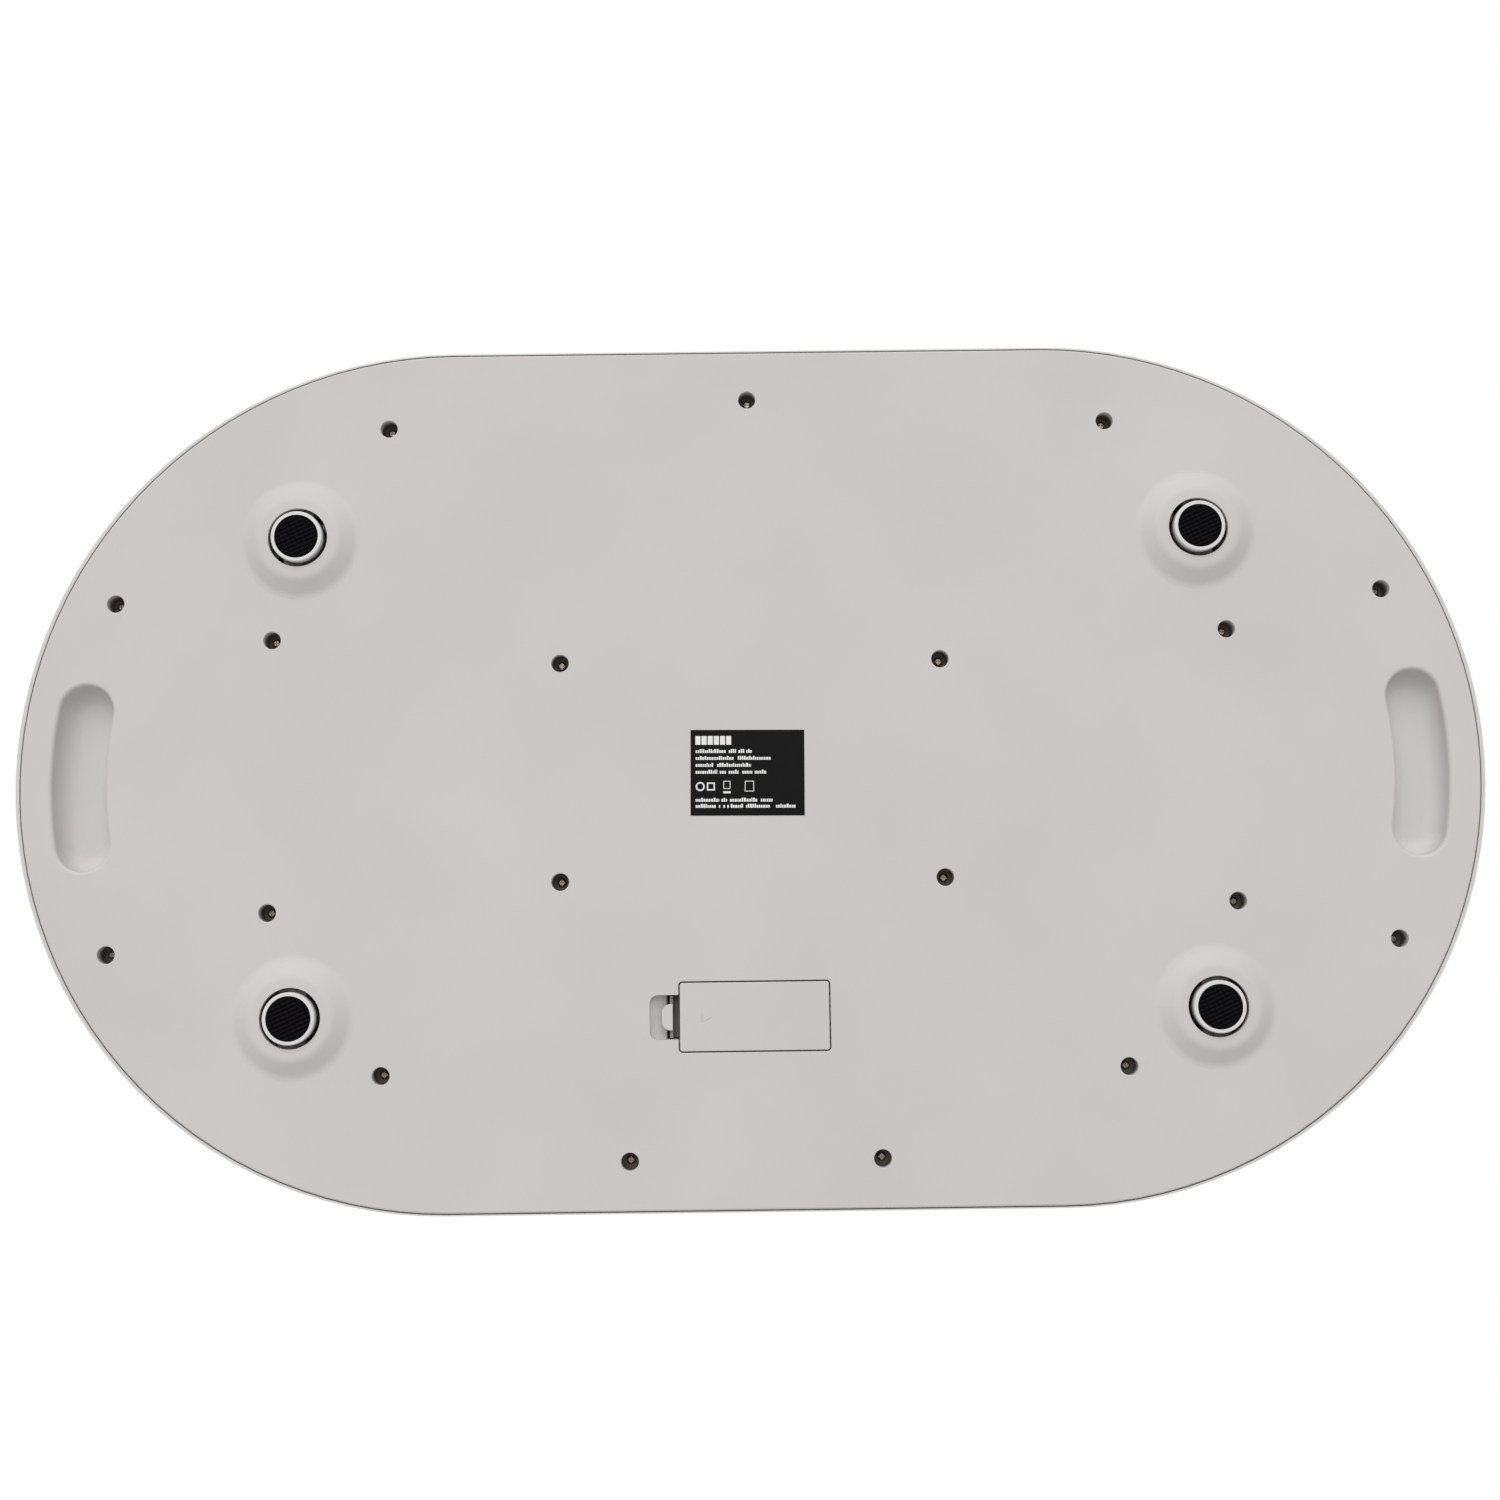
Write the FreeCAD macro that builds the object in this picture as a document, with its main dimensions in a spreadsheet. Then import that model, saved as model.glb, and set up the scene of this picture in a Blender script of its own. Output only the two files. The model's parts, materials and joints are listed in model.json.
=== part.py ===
"""Digital baby scale: a dished tray on a flat cover, carried by four load-cell feet.

+Z is up and the scale stands on its feet at Z = 0. X runs along its length. The display and the battery
door are at the front, towards -Y. The origin is below the middle of the scale, on the floor.
"""

import FreeCAD
import Part
import Sketcher
import math
import os
from types import SimpleNamespace

Vector = FreeCAD.Vector

# ---------------------------------------------------------------- driving dimensions, mm and degrees

SIZES = {
    # how far a cut starts outside the material, so that it opens cleanly
    "cut_lead": 1.0,
    # outline of the cover: a stadium, which is two straight sides and two half circles
    "cover_radius": 161.05,
    "cover_end_centre": 112.3,
    "cover_plane": 6.4,
    "cover_thick": 2.5,
    "cover_edge_round": 0.8,
    "rib_height": 4.0,
    "rib_inset": 4.0,
    "rib_thick": 1.5,
    # tray
    "tray_radius": 161.9,
    "tray_end_centre": 113.2,
    "tray_draft_run": 1.15,
    "tray_wall": 2.5,
    "lip_bottom": 6.9,
    "seam_gap": 0.4,
    "rim_top": 56.0,
    "rim_width": 11.25,
    "rim_outer_round": 7.0,
    "rim_inner_round": 6.0,
    "dish_floor": 27.0,
    "dish_slope": 46.0,
    "dish_round": 20.0,
    # display housing at the front of the tray
    "pod_half_width": 76.0,
    "pod_front": -146.0,
    "pod_back": -97.0,
    "pod_top": 48.0,
    "pod_corner_round": 8.0,
    "pod_edge_round": 3.0,
    # stiffening ribs under the dish
    "tray_rib_thick": 1.5,
    "tray_rib_depth": 8.0,
    "tray_rib_pitch": 55.0,
    "tray_rib_reach": 150.0,
    "tray_rib_front": -70.0,
    "tray_rib_rear": 100.0,
    # feet and load cells
    "foot_x": 170.2,
    "foot_y": 89.8,
    "boss_radius": 21.8,
    "boss_land_radius": 15.4,
    "boss_height": 4.0,
    "boss_round": 5.0,
    "boss_wall_low": 1.9,
    "boss_wall_high": 1.5,
    "foot_hole_radius": 11.2,
    "foot_radius": 9.6,
    "pad_radius": 8.2,
    "pad_thick": 1.8,
    "ring_bottom": 0.2,
    "cup_floor": 2.2,
    "cup_height": 8.2,
    "cup_wall": 1.8,
    "cup_edge": 0.3,
    "stem_radius": 3.2,
    "ear_bottom": 6.4,
    "ear_thick": 1.6,
    "ear_bite": 0.3,
    "ear_half_width": 5.0,
    "ear_reach": 12.8,
    "ear_knob_radius": 1.5,
    "ear_knob_place": 10.5,
    "ear_knob_height": 0.7,
    "pad_play": 0.05,
    "pad_round": 0.4,
    "cell_bottom": 13.9,
    "cell_side": 34.0,
    "cell_thick": 1.2,
    "cell_slot": 2.0,
    "tongue_half": 8.0,
    "cell_corner": 3.0,
    "cell_hole_offset": 4.5,
    "cell_hole_radius": 1.6,
    "seat_side": 40.0,
    "seat_opening": 27.0,
    "seat_opening_corner": 2.0,
    "clip_half": 6.0,
    "clip_thick": 1.2,
    "clip_play": 0.3,
    "gauge_half_length": 4.0,
    "gauge_half_width": 2.5,
    "gauge_thick": 0.9,
    # screws: the rim ones hold the cover to the tray, the inner ones hold it near the feet and the middle
    "well_radius": 3.25,
    "well_depth": 7.8,
    "well_mouth_round": 0.35,
    "well_wall": 1.55,
    "well_floor": 2.0,
    "screw_hole_radius": 1.6,
    "screw_radius": 1.25,
    "screw_length": 7.0,
    "head_radius": 1.7,
    "head_height": 1.3,
    "pilot_radius": 1.3,
    "boss_post_radius": 3.8,
    "rim_back_mid_x": 0.0,
    "rim_back_mid_y": 142.4,
    "rim_back_x": 136.9,
    "rim_back_y": 132.6,
    "rim_side_x": 239.5,
    "rim_side_y": 65.9,
    "rim_corner_x": 137.5,
    "rim_corner_y": -111.3,
    "rim_front_x": 46.2,
    "rim_front_y": -143.3,
    "inner_foot_x": 180.2,
    "inner_foot_y": 51.2,
    "inner_mid_x": 71.6,
    "inner_mid_y": 41.1,
    # finger grips: curved slots that follow the ends
    "grip_arc_radius": 139.4,
    "grip_half_width": 10.0,
    "grip_cap_y": 25.0,
    "grip_depth": 10.0,
    "grip_floor_round": 6.0,
    "grip_mouth_round": 1.4,
    # battery bay, door and latch
    "bay_y": -91.3,
    "door_half_length": 27.55,
    "door_half_width": 12.5,
    "door_corner": 1.0,
    "door_thick": 1.8,
    "door_gap": 0.5,
    "door_edge_round": 0.3,
    "bay_half_length": 26.2,
    "bay_half_width": 11.2,
    "bay_ceiling": 19.5,
    "bay_wall": 1.5,
    "ledge_play": 0.1,
    "bay_box_margin": 2.0,
    "bay_box_hook_side": 3.7,
    "hook_spread": 5.7,
    "hook_width": 4.2,
    "hook_play": 0.4,
    "hook_room": 2.2,
    "hook_reach": 1.6,
    "hook_root": 1.5,
    "hook_thick": 1.0,
    "hook_rise": 0.3,
    "arrow_tip": 11.8,
    "arrow_base": 8.6,
    "arrow_half": 1.6,
    "arrow_bar_start": 8.1,
    "arrow_bar_end": 7.7,
    "arrow_height": 0.2,
    "recess_half_width": 8.15,
    "recess_end": 38.7,
    "recess_corner": 3.0,
    "recess_rim": 2.2,
    "recess_ramp_run": 2.2,
    "recess_ramp_top": 3.4,
    "recess_ceiling": 5.0,
    "latch_headroom": 3.7,
    "latch_half_width": 7.7,
    "latch_thick": 1.1,
    "leaf_inset": 0.2,
    "latch_bend_radius": 2.0,
    "latch_bend_z": 13.2,
    "latch_gap": 0.3,
    "latch_tip": 7.0,
    "leaf_end": 10.4,
    "tab_half_width": 4.8,
    "tab_end": 34.2,
    "tab_thick": 1.2,
    "tab_corner": 3.2,
    "aaa_radius": 5.15,
    "aaa_length": 44.5,
    "aaa_nub_radius": 1.9,
    "aaa_nub": 1.0,
    "aaa_pitch": 10.6,
    "aaa_z": 13.9,
    "contact_x": 25.5,
    "contact_thick": 0.4,
    "contact_low": 11.0,
    "contact_high": 18.6,
    "contact_half_width": 4.4,
    "bump_height": 1.5,
    "bump_radius": 2.6,
    "lug_reach": 5.5,
    "lug_half_width": 1.2,
    "lug_rise": 2.0,
    "lug_slot_half": 1.6,
    "spring_wire": 0.3,
    "spring_radius": 3.2,
    "spring_turns": 4.0,
    # rating label
    "label_x": 1.5,
    "label_y": -1.1,
    "label_length": 42.6,
    "label_width": 32.2,
    "label_thick": 0.12,
    "label_turn": 0.55,
    # display and keys
    "window_length": 64.0,
    "window_width": 24.0,
    "window_thick": 1.2,
    "window_y": -115.0,
    "view_margin": 2.0,
    "board_top": 38.0,
    "board_thick": 1.6,
    "board_half_length": 44.0,
    "board_front": -138.0,
    "board_back": -101.0,
    "board_post_radius": 3.0,
    "board_post_x": 40.5,
    "board_post_front": -124.5,
    "board_post_back": -104.5,
    "board_screw_radius": 0.9,
    "board_screw_length": 6.0,
    "board_pilot_depth": 5.0,
    "board_corner": 1.0,
    "blob_y": -118.0,
    "blob_radius": 6.5,
    "blob_taper": 1.5,
    "blob_height": 1.4,
    "glass_length": 62.0,
    "glass_width": 26.0,
    "glass_thick": 2.6,
    "glass_bottom": 41.6,
    "window_play": 0.1,
    "frame_wall": 1.5,
    "frame_play": 0.2,
    "frame_top": 44.8,
    "strip_width": 2.0,
    "strip_inset": 2.0,
    "key_y": -134.5,
    "key_pitch": 26.0,
    "key_half_length": 7.5,
    "key_radius": 3.3,
    "key_top": 48.6,
    "key_play": 0.25,
    "key_travel": 0.5,
    "key_edge_round": 0.5,
    "key_stem_radius": 1.5,
    "key_rest_gap": 0.1,
    "flange_grow": 1.1,
    "flange_thick": 1.4,
    "switch_side": 6.0,
    "switch_height": 3.5,
    "plunger_radius": 1.7,
    "plunger_top": 43.0,
    "plunger_grip": 0.8,
    "plunger_play": 0.15,
    # leads
    "cell_lead_radius": 1.0,
    "battery_lead_radius": 0.7,
}

doc = FreeCAD.newDocument("baby_scale")
sheet = doc.addObject("Spreadsheet::Sheet", "sizes")
for row, (alias, number) in enumerate(SIZES.items(), start=1):
    sheet.set(f"A{row}", alias)
    sheet.set(f"B{row}", repr(number))
    sheet.setAlias(f"B{row}", alias)
doc.recompute()


class Formula:
    """A number together with the spreadsheet formula that gives it."""

    def __init__(self, value, text):
        self.value = value
        self.text = text

    @staticmethod
    def of(number):
        return number if isinstance(number, Formula) else Formula(float(number), repr(float(number)))

    @staticmethod
    def join(left, sign, right, value):
        return Formula(value, f"({left.text} {sign} {right.text})")

    def __add__(self, other):
        other = Formula.of(other)
        return Formula.join(self, "+", other, self.value + other.value)

    def __sub__(self, other):
        other = Formula.of(other)
        return Formula.join(self, "-", other, self.value - other.value)

    def __mul__(self, other):
        other = Formula.of(other)
        return Formula.join(self, "*", other, self.value * other.value)

    def __truediv__(self, other):
        other = Formula.of(other)
        return Formula.join(self, "/", other, self.value / other.value)

    def __radd__(self, other):
        return Formula.of(other) + self

    def __rsub__(self, other):
        return Formula.of(other) - self

    def __rmul__(self, other):
        return Formula.of(other) * self

    def __neg__(self):
        return self * -1.0

    def tan(self):
        return Formula(math.tan(math.radians(self.value)), f"tan({self.text})")


size = SimpleNamespace(**{alias: Formula(number, f"sizes.{alias}") for alias, number in SIZES.items()})


def bind(thing, path, amount):
    """Set one property of a document object to a formula of the sheet."""
    thing.setExpression(path, Formula.of(amount).text)


def put(thing, x=0, y=0, z=0):
    """Bind an object's position to the sheet."""
    for axis, amount in zip("xyz", (x, y, z)):
        bind(thing, f"Placement.Base.{axis}", amount)
    return thing


# ---------------------------------------------------------------- sketches and features

START, END, MIDDLE = 1, 2, 3
ORIGIN = (-1, 1)


class Drawing:
    """A sketch on one of a body's own origin planes, every point and radius of which is a formula."""

    def __init__(self, body, name, plane="XY_Plane", offset=0):
        self.sketch = body.newObject("Sketcher::SketchObject", name)
        support = next(part for part in body.Origin.OriginFeatures if part.Role == plane)
        self.sketch.AttachmentSupport = [(support, "")]
        self.sketch.MapMode = "FlatFace"
        bind(self.sketch, "AttachmentOffset.Base.z", offset)

    def constrain(self, kind, *where, amount=None):
        if amount is None:
            self.sketch.addConstraint(Sketcher.Constraint(kind, *where))
            return
        index = self.sketch.addConstraint(Sketcher.Constraint(kind, *where, amount.value))
        self.sketch.setExpression(f"Constraints[{index}]", amount.text)

    def pin(self, curve, point, x, y):
        """Hold a point of a curve at (x, y), measured from the sketch's origin."""
        for kind, amount in (("DistanceX", Formula.of(x)), ("DistanceY", Formula.of(y))):
            if amount.value >= 0:
                self.constrain(kind, *ORIGIN, curve, point, amount=amount)
            else:
                self.constrain(kind, curve, point, *ORIGIN, amount=-amount)

    def circle(self, x, y, radius):
        x, y, radius = Formula.of(x), Formula.of(y), Formula.of(radius)
        shape = Part.Circle(Vector(x.value, y.value, 0), Vector(0, 0, 1), radius.value)
        curve = self.sketch.addGeometry(shape)
        self.pin(curve, MIDDLE, x, y)
        self.constrain("Radius", curve, amount=radius)
        return self

    def polygon(self, corners):
        corners = [(Formula.of(x), Formula.of(y)) for x, y in corners]
        spots = [Vector(x.value, y.value, 0) for x, y in corners]
        lines = [
            self.sketch.addGeometry(Part.LineSegment(spots[i - 1], spots[i])) for i in range(len(spots))
        ]
        for i, (x, y) in enumerate(corners):
            following = lines[(i + 1) % len(lines)]
            self.constrain("Coincident", lines[i], END, following, START)
            self.pin(lines[i], END, x, y)
        return self

    def rectangle(self, x_low, y_low, x_high, y_high):
        return self.polygon([(x_low, y_low), (x_high, y_low), (x_high, y_high), (x_low, y_high)])

    def belt(self, centres, radius):
        """A loop of tangent lines round equal circles, whose centres go anticlockwise."""
        radius = Formula.of(radius)
        centres = [(Formula.of(x), Formula.of(y)) for x, y in centres]
        spots = [Vector(x.value, y.value, 0) for x, y in centres]
        count = len(spots)
        out = []
        for i in range(count):
            run = spots[(i + 1) % count] - spots[i]
            out.append(math.atan2(-run.x, run.y))
        arcs = []
        lines = []
        for i in range(count):
            first, last = out[i - 1], out[i]
            if last <= first:
                last += 2 * math.pi
            ring = Part.Circle(spots[i], Vector(0, 0, 1), radius.value)
            arcs.append(self.sketch.addGeometry(Part.ArcOfCircle(ring, first, last)))
        for i in range(count):
            side = Vector(math.cos(out[i]), math.sin(out[i]), 0) * radius.value
            line = Part.LineSegment(spots[i] + side, spots[(i + 1) % count] + side)
            lines.append(self.sketch.addGeometry(line))
        for i in range(count):
            self.constrain("Tangent", arcs[i], END, lines[i], START)
            self.constrain("Tangent", lines[i], END, arcs[(i + 1) % count], START)
            self.pin(arcs[i], MIDDLE, *centres[i])
            self.constrain("Radius", arcs[i], amount=radius)
        return self

    def stadium(self, end_centre, radius):
        return self.belt([(-end_centre, 0), (end_centre, 0)], radius)

    def rounded(self, x_low, y_low, x_high, y_high, radius):
        return self.belt(
            [
                (x_low + radius, y_low + radius),
                (x_high - radius, y_low + radius),
                (x_high - radius, y_high - radius),
                (x_low + radius, y_high - radius),
            ],
            radius,
        )

    def curved_slot(self, side, end_centre, arc_radius, half_width, cap_y):
        """A slot of constant width that follows one end of the scale; side is +1 or -1."""
        centre = Vector(side * end_centre.value, 0, 0)
        reach = math.asin(cap_y.value / arc_radius.value)
        facing = 0.0 if side > 0 else math.pi
        arcs = []
        for radius in (arc_radius + half_width, arc_radius - half_width):
            ring = Part.Circle(centre, Vector(0, 0, 1), radius.value)
            arc = self.sketch.addGeometry(Part.ArcOfCircle(ring, facing - reach, facing + reach))
            self.constrain("Radius", arc, amount=radius)
            arcs.append(arc)
        outer, inner = arcs
        self.pin(outer, MIDDLE, side * end_centre, 0)
        self.constrain("Coincident", inner, MIDDLE, outer, MIDDLE)
        for turn in (1, -1):
            angle = facing + turn * reach
            spot = centre + Vector(math.cos(angle), math.sin(angle), 0) * arc_radius.value
            ring = Part.Circle(spot, Vector(0, 0, 1), half_width.value)
            first = angle if turn > 0 else angle - math.pi
            cap = self.sketch.addGeometry(Part.ArcOfCircle(ring, first, first + math.pi))
            outer_joint = (cap, START, outer, END) if turn > 0 else (cap, END, outer, START)
            inner_joint = (cap, END, inner, END) if turn > 0 else (cap, START, inner, START)
            self.constrain("Tangent", *outer_joint)
            self.constrain("Tangent", *inner_joint)
            if spot.y > 0:
                self.constrain("DistanceY", *ORIGIN, cap, MIDDLE, amount=cap_y)
            else:
                self.constrain("DistanceY", cap, MIDDLE, *ORIGIN, amount=cap_y)
        return self


def new_body(label):
    body = doc.addObject("PartDesign::Body", label)
    body.Label = label
    return body


def checked(feature):
    """Recompute and stop at once if the feature failed."""
    doc.recompute()
    if "Invalid" in feature.State or feature.Shape.isNull():
        raise RuntimeError(f"{feature.Name} failed")
    return feature


def pad(body, drawing, length, both_ways=False, down=False):
    """Add material on a drawing: upwards, downwards or the same amount to each side."""
    feature = body.newObject("PartDesign::Pad", f"{drawing.sketch.Name}_pad")
    return extrude(feature, drawing, length, both_ways, down)


def pocket(body, drawing, length, both_ways=False, down=False):
    """Remove material on a drawing: upwards, downwards or the same amount to each side."""
    before = body.Tip.Shape.Volume
    feature = body.newObject("PartDesign::Pocket", f"{drawing.sketch.Name}_cut")
    extrude(feature, drawing, length, both_ways, not down)
    if not feature.Shape.Volume < before - 1e-6:
        raise RuntimeError(f"{feature.Name} cuts nothing")
    return feature


def extrude(feature, drawing, length, both_ways, reversed_way):
    feature.Profile = drawing.sketch
    bind(feature, "Length", length)
    if both_ways:
        feature.SideType = "Symmetric"
    feature.Reversed = reversed_way
    return checked(feature)


def revolve(body, drawing, angle=360.0, flip=False):
    feature = body.newObject("PartDesign::Revolution", f"{drawing.sketch.Name}_turn")
    feature.Profile = drawing.sketch
    feature.ReferenceAxis = (drawing.sketch, ["V_Axis"])
    bind(feature, "Angle", angle)
    feature.Reversed = flip
    return checked(feature)


def round_edges(body, radius, wanted, kind="Fillet"):
    """Round the edges of a body that the test picks out."""
    base = body.Tip
    names = [f"Edge{i}" for i, edge in enumerate(base.Shape.Edges, start=1) if wanted(edge)]
    if not names:
        raise RuntimeError(f"no edges to round on {body.Label}")
    feature = body.newObject(f"PartDesign::{kind}", f"{body.Name}_{kind.lower()}")
    feature.Base = (base, names)
    bind(feature, "Radius" if kind == "Fillet" else "Size", radius)
    return checked(feature)


def near(a, b, slack=0.02):
    return abs(a - b) < slack


def flat_at(edge, height):
    """True for an edge that lies in the level plane at this height."""
    box = edge.BoundBox
    return near(box.ZMin, height) and near(box.ZMax, height)


# ---------------------------------------------------------------- primitives and booleans


def box(label, low, high):
    """A block between two corners."""
    block = doc.addObject("Part::Box", label)
    for path, a, b in zip(("Length", "Width", "Height"), low, high):
        bind(block, path, Formula.of(b) - a)
    return put(block, *low)


def cylinder(label, radius, x, y, z_low, z_high):
    rod = doc.addObject("Part::Cylinder", label)
    bind(rod, "Radius", radius)
    bind(rod, "Height", Formula.of(z_high) - z_low)
    return put(rod, x, y, z_low)


def lying_cylinder(label, radius, x_low, x_high, y, z):
    """A cylinder along X."""
    rod = doc.addObject("Part::Cylinder", label)
    bind(rod, "Radius", radius)
    bind(rod, "Height", Formula.of(x_high) - x_low)
    rod.Placement = FreeCAD.Placement(Vector(), FreeCAD.Rotation(Vector(0, 1, 0), 90))
    return put(rod, x_low, y, z)


def fuse(label, pieces):
    joined = doc.addObject("Part::MultiFuse", label)
    joined.Shapes = pieces
    joined.Refine = True
    return joined


def cut(label, base, tool):
    result = doc.addObject("Part::Cut", label)
    result.Base = base
    result.Tool = tool
    result.Refine = True
    return result


def group(label, pieces):
    """Separate solids kept together as one node."""
    bundle = doc.addObject("Part::Compound", label)
    bundle.Links = pieces
    return bundle


def placed_copy(label, master, x, y, z):
    copy = doc.addObject("App::Link", label)
    copy.LinkedObject = master
    return put(copy, x, y, z)


parts = []


def keep(thing, label):
    """Name a finished piece and put it on the list of nodes."""
    thing.Label = label
    parts.append(thing)
    return thing


# ---------------------------------------------------------------- places that several pieces share

cover_inner = size.cover_plane + size.cover_thick
head_seat = size.cover_plane + size.well_depth
well_top = head_seat + size.well_floor
floor_under = size.dish_floor - size.tray_wall
pod_under = size.pod_top - size.tray_wall
cell_top = size.cell_bottom + size.cell_thick
door_top = size.cover_plane + size.door_thick
bay_ledge = door_top + size.ledge_play

BOTH = (1, -1)
RIM_SPOTS = (
    [(size.rim_back_mid_x, size.rim_back_mid_y)]
    + [(side * size.rim_back_x, size.rim_back_y) for side in BOTH]
    + [(side * size.rim_side_x, end * size.rim_side_y) for side in BOTH for end in BOTH]
    + [(side * size.rim_corner_x, size.rim_corner_y) for side in BOTH]
    + [(side * size.rim_front_x, size.rim_front_y) for side in BOTH]
)
INNER_SPOTS = [(side * size.inner_foot_x, end * size.inner_foot_y) for side in BOTH for end in BOTH] + [
    (side * size.inner_mid_x, end * size.inner_mid_y) for side in BOTH for end in BOTH
]
CORNERS = {
    "front_left": (-1, -1),
    "front_right": (1, -1),
    "rear_left": (-1, 1),
    "rear_right": (1, 1),
}
BOARD_SPOTS = [
    (side * size.board_post_x, y) for side in BOTH for y in (size.board_post_front, size.board_post_back)
]
FEET = {name: (sx * size.foot_x, sy * size.foot_y) for name, (sx, sy) in CORNERS.items()}


# ---------------------------------------------------------------- bottom cover


def make_cover():
    body = new_body("bottom_cover")
    plate = Drawing(body, "cover_plate", offset=size.cover_plane)
    plate.stadium(size.cover_end_centre, size.cover_radius)
    pad(body, plate, size.cover_thick)
    round_edges(body, size.cover_edge_round, lambda edge: flat_at(edge, SIZES["cover_plane"]))

    rib = Drawing(body, "locating_rib", offset=cover_inner)
    rib.stadium(size.cover_end_centre, size.cover_radius - size.rib_inset)
    rib.stadium(size.cover_end_centre, size.cover_radius - size.rib_inset - size.rib_thick)
    pad(body, rib, size.rib_height)

    # the outside of everything that stands up inside the cover
    tubes = Drawing(body, "well_tubes", offset=cover_inner)
    for x, y in RIM_SPOTS + INNER_SPOTS:
        tubes.circle(x, y, size.well_radius + size.well_wall)
    pad(body, tubes, well_top - cover_inner)
    tubs = Drawing(body, "grip_tubs", offset=cover_inner)
    for side in BOTH:
        tubs.curved_slot(
            side,
            size.cover_end_centre,
            size.grip_arc_radius,
            size.grip_half_width + size.cover_thick,
            size.grip_cap_y,
        )
    pad(body, tubs, size.grip_depth)
    bay = Drawing(body, "bay_box", offset=cover_inner)
    bay.rectangle(
        -(size.door_half_length + size.bay_box_hook_side),
        size.bay_y - size.door_half_width - size.bay_box_margin,
        size.door_half_length + size.bay_box_margin,
        size.bay_y + size.door_half_width + size.bay_box_margin,
    )
    pad(body, bay, size.bay_ceiling + size.bay_wall - cover_inner)
    housing = Drawing(body, "latch_housing", offset=cover_inner)
    housing.rectangle(
        size.door_half_length,
        size.bay_y - size.recess_half_width - size.bay_wall,
        size.recess_end + size.bay_wall,
        size.bay_y + size.recess_half_width + size.bay_wall,
    )
    pad(body, housing, size.latch_bend_z + size.latch_headroom + size.bay_wall - cover_inner)

    # the cone round each foot, its hollow inside and the hole
    for name, (x, y) in FEET.items():
        low = size.cover_plane - size.boss_height
        cone = body.newObject("PartDesign::AdditiveCone", f"boss_{name}")
        bind(cone, "Radius1", size.boss_land_radius)
        bind(cone, "Radius2", size.boss_radius)
        bind(cone, "Height", size.boss_height)
        put(cone, x, y, low)
        hollow = body.newObject("PartDesign::SubtractiveCone", f"boss_hollow_{name}")
        bind(hollow, "Radius1", size.boss_land_radius - size.boss_wall_low)
        bind(hollow, "Radius2", size.boss_radius - size.boss_wall_high)
        bind(hollow, "Height", size.boss_height)
        put(hollow, x, y, low + size.cover_thick)
        hole = body.newObject("PartDesign::SubtractiveCylinder", f"foot_hole_{name}")
        bind(hole, "Radius", size.foot_hole_radius)
        bind(hole, "Height", size.cover_thick * 2)
        put(hole, x, y, low - size.cut_lead)
    doc.recompute()
    land = SIZES["cover_plane"] - SIZES["boss_height"]

    def boss_edge(edge):
        across = edge.BoundBox.XLength / 2
        foot_of_cone = flat_at(edge, SIZES["cover_plane"]) and near(across, SIZES["boss_radius"], 0.5)
        return foot_of_cone or (flat_at(edge, land) and near(across, SIZES["boss_land_radius"], 0.5))

    round_edges(body, size.boss_round, boss_edge)

    wells = Drawing(body, "screw_wells", offset=size.cover_plane)
    holes = Drawing(body, "screw_holes", offset=size.cover_plane)
    for x, y in RIM_SPOTS + INNER_SPOTS:
        wells.circle(x, y, size.well_radius)
        holes.circle(x, y, size.screw_hole_radius)
    pocket(body, wells, size.well_depth)

    def well_mouth(edge):
        return flat_at(edge, SIZES["cover_plane"]) and near(edge.BoundBox.XLength / 2, SIZES["well_radius"])

    round_edges(body, size.well_mouth_round, well_mouth)
    pocket(body, holes, size.well_depth + size.well_floor)

    grips = Drawing(body, "finger_grips", offset=size.cover_plane)
    for side in BOTH:
        grips.curved_slot(
            side, size.cover_end_centre, size.grip_arc_radius, size.grip_half_width, size.grip_cap_y
        )
    pocket(body, grips, size.grip_depth)
    deep = SIZES["cover_plane"] + SIZES["grip_depth"]
    round_edges(body, size.grip_floor_round, lambda edge: flat_at(edge, deep))

    mouth = SIZES["cover_end_centre"] + SIZES["grip_arc_radius"]
    reach = SIZES["grip_cap_y"] + SIZES["grip_half_width"] + 1.0

    def at_grip_mouth(edge):
        bounds = edge.BoundBox
        across = near(abs(bounds.Center.x), mouth, SIZES["grip_half_width"] * 1.5)
        return flat_at(edge, SIZES["cover_plane"]) and across and max(-bounds.YMin, bounds.YMax) < reach

    round_edges(body, size.grip_mouth_round, at_grip_mouth)

    cut_battery_bay(body)
    return keep(body, "bottom_cover")


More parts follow.
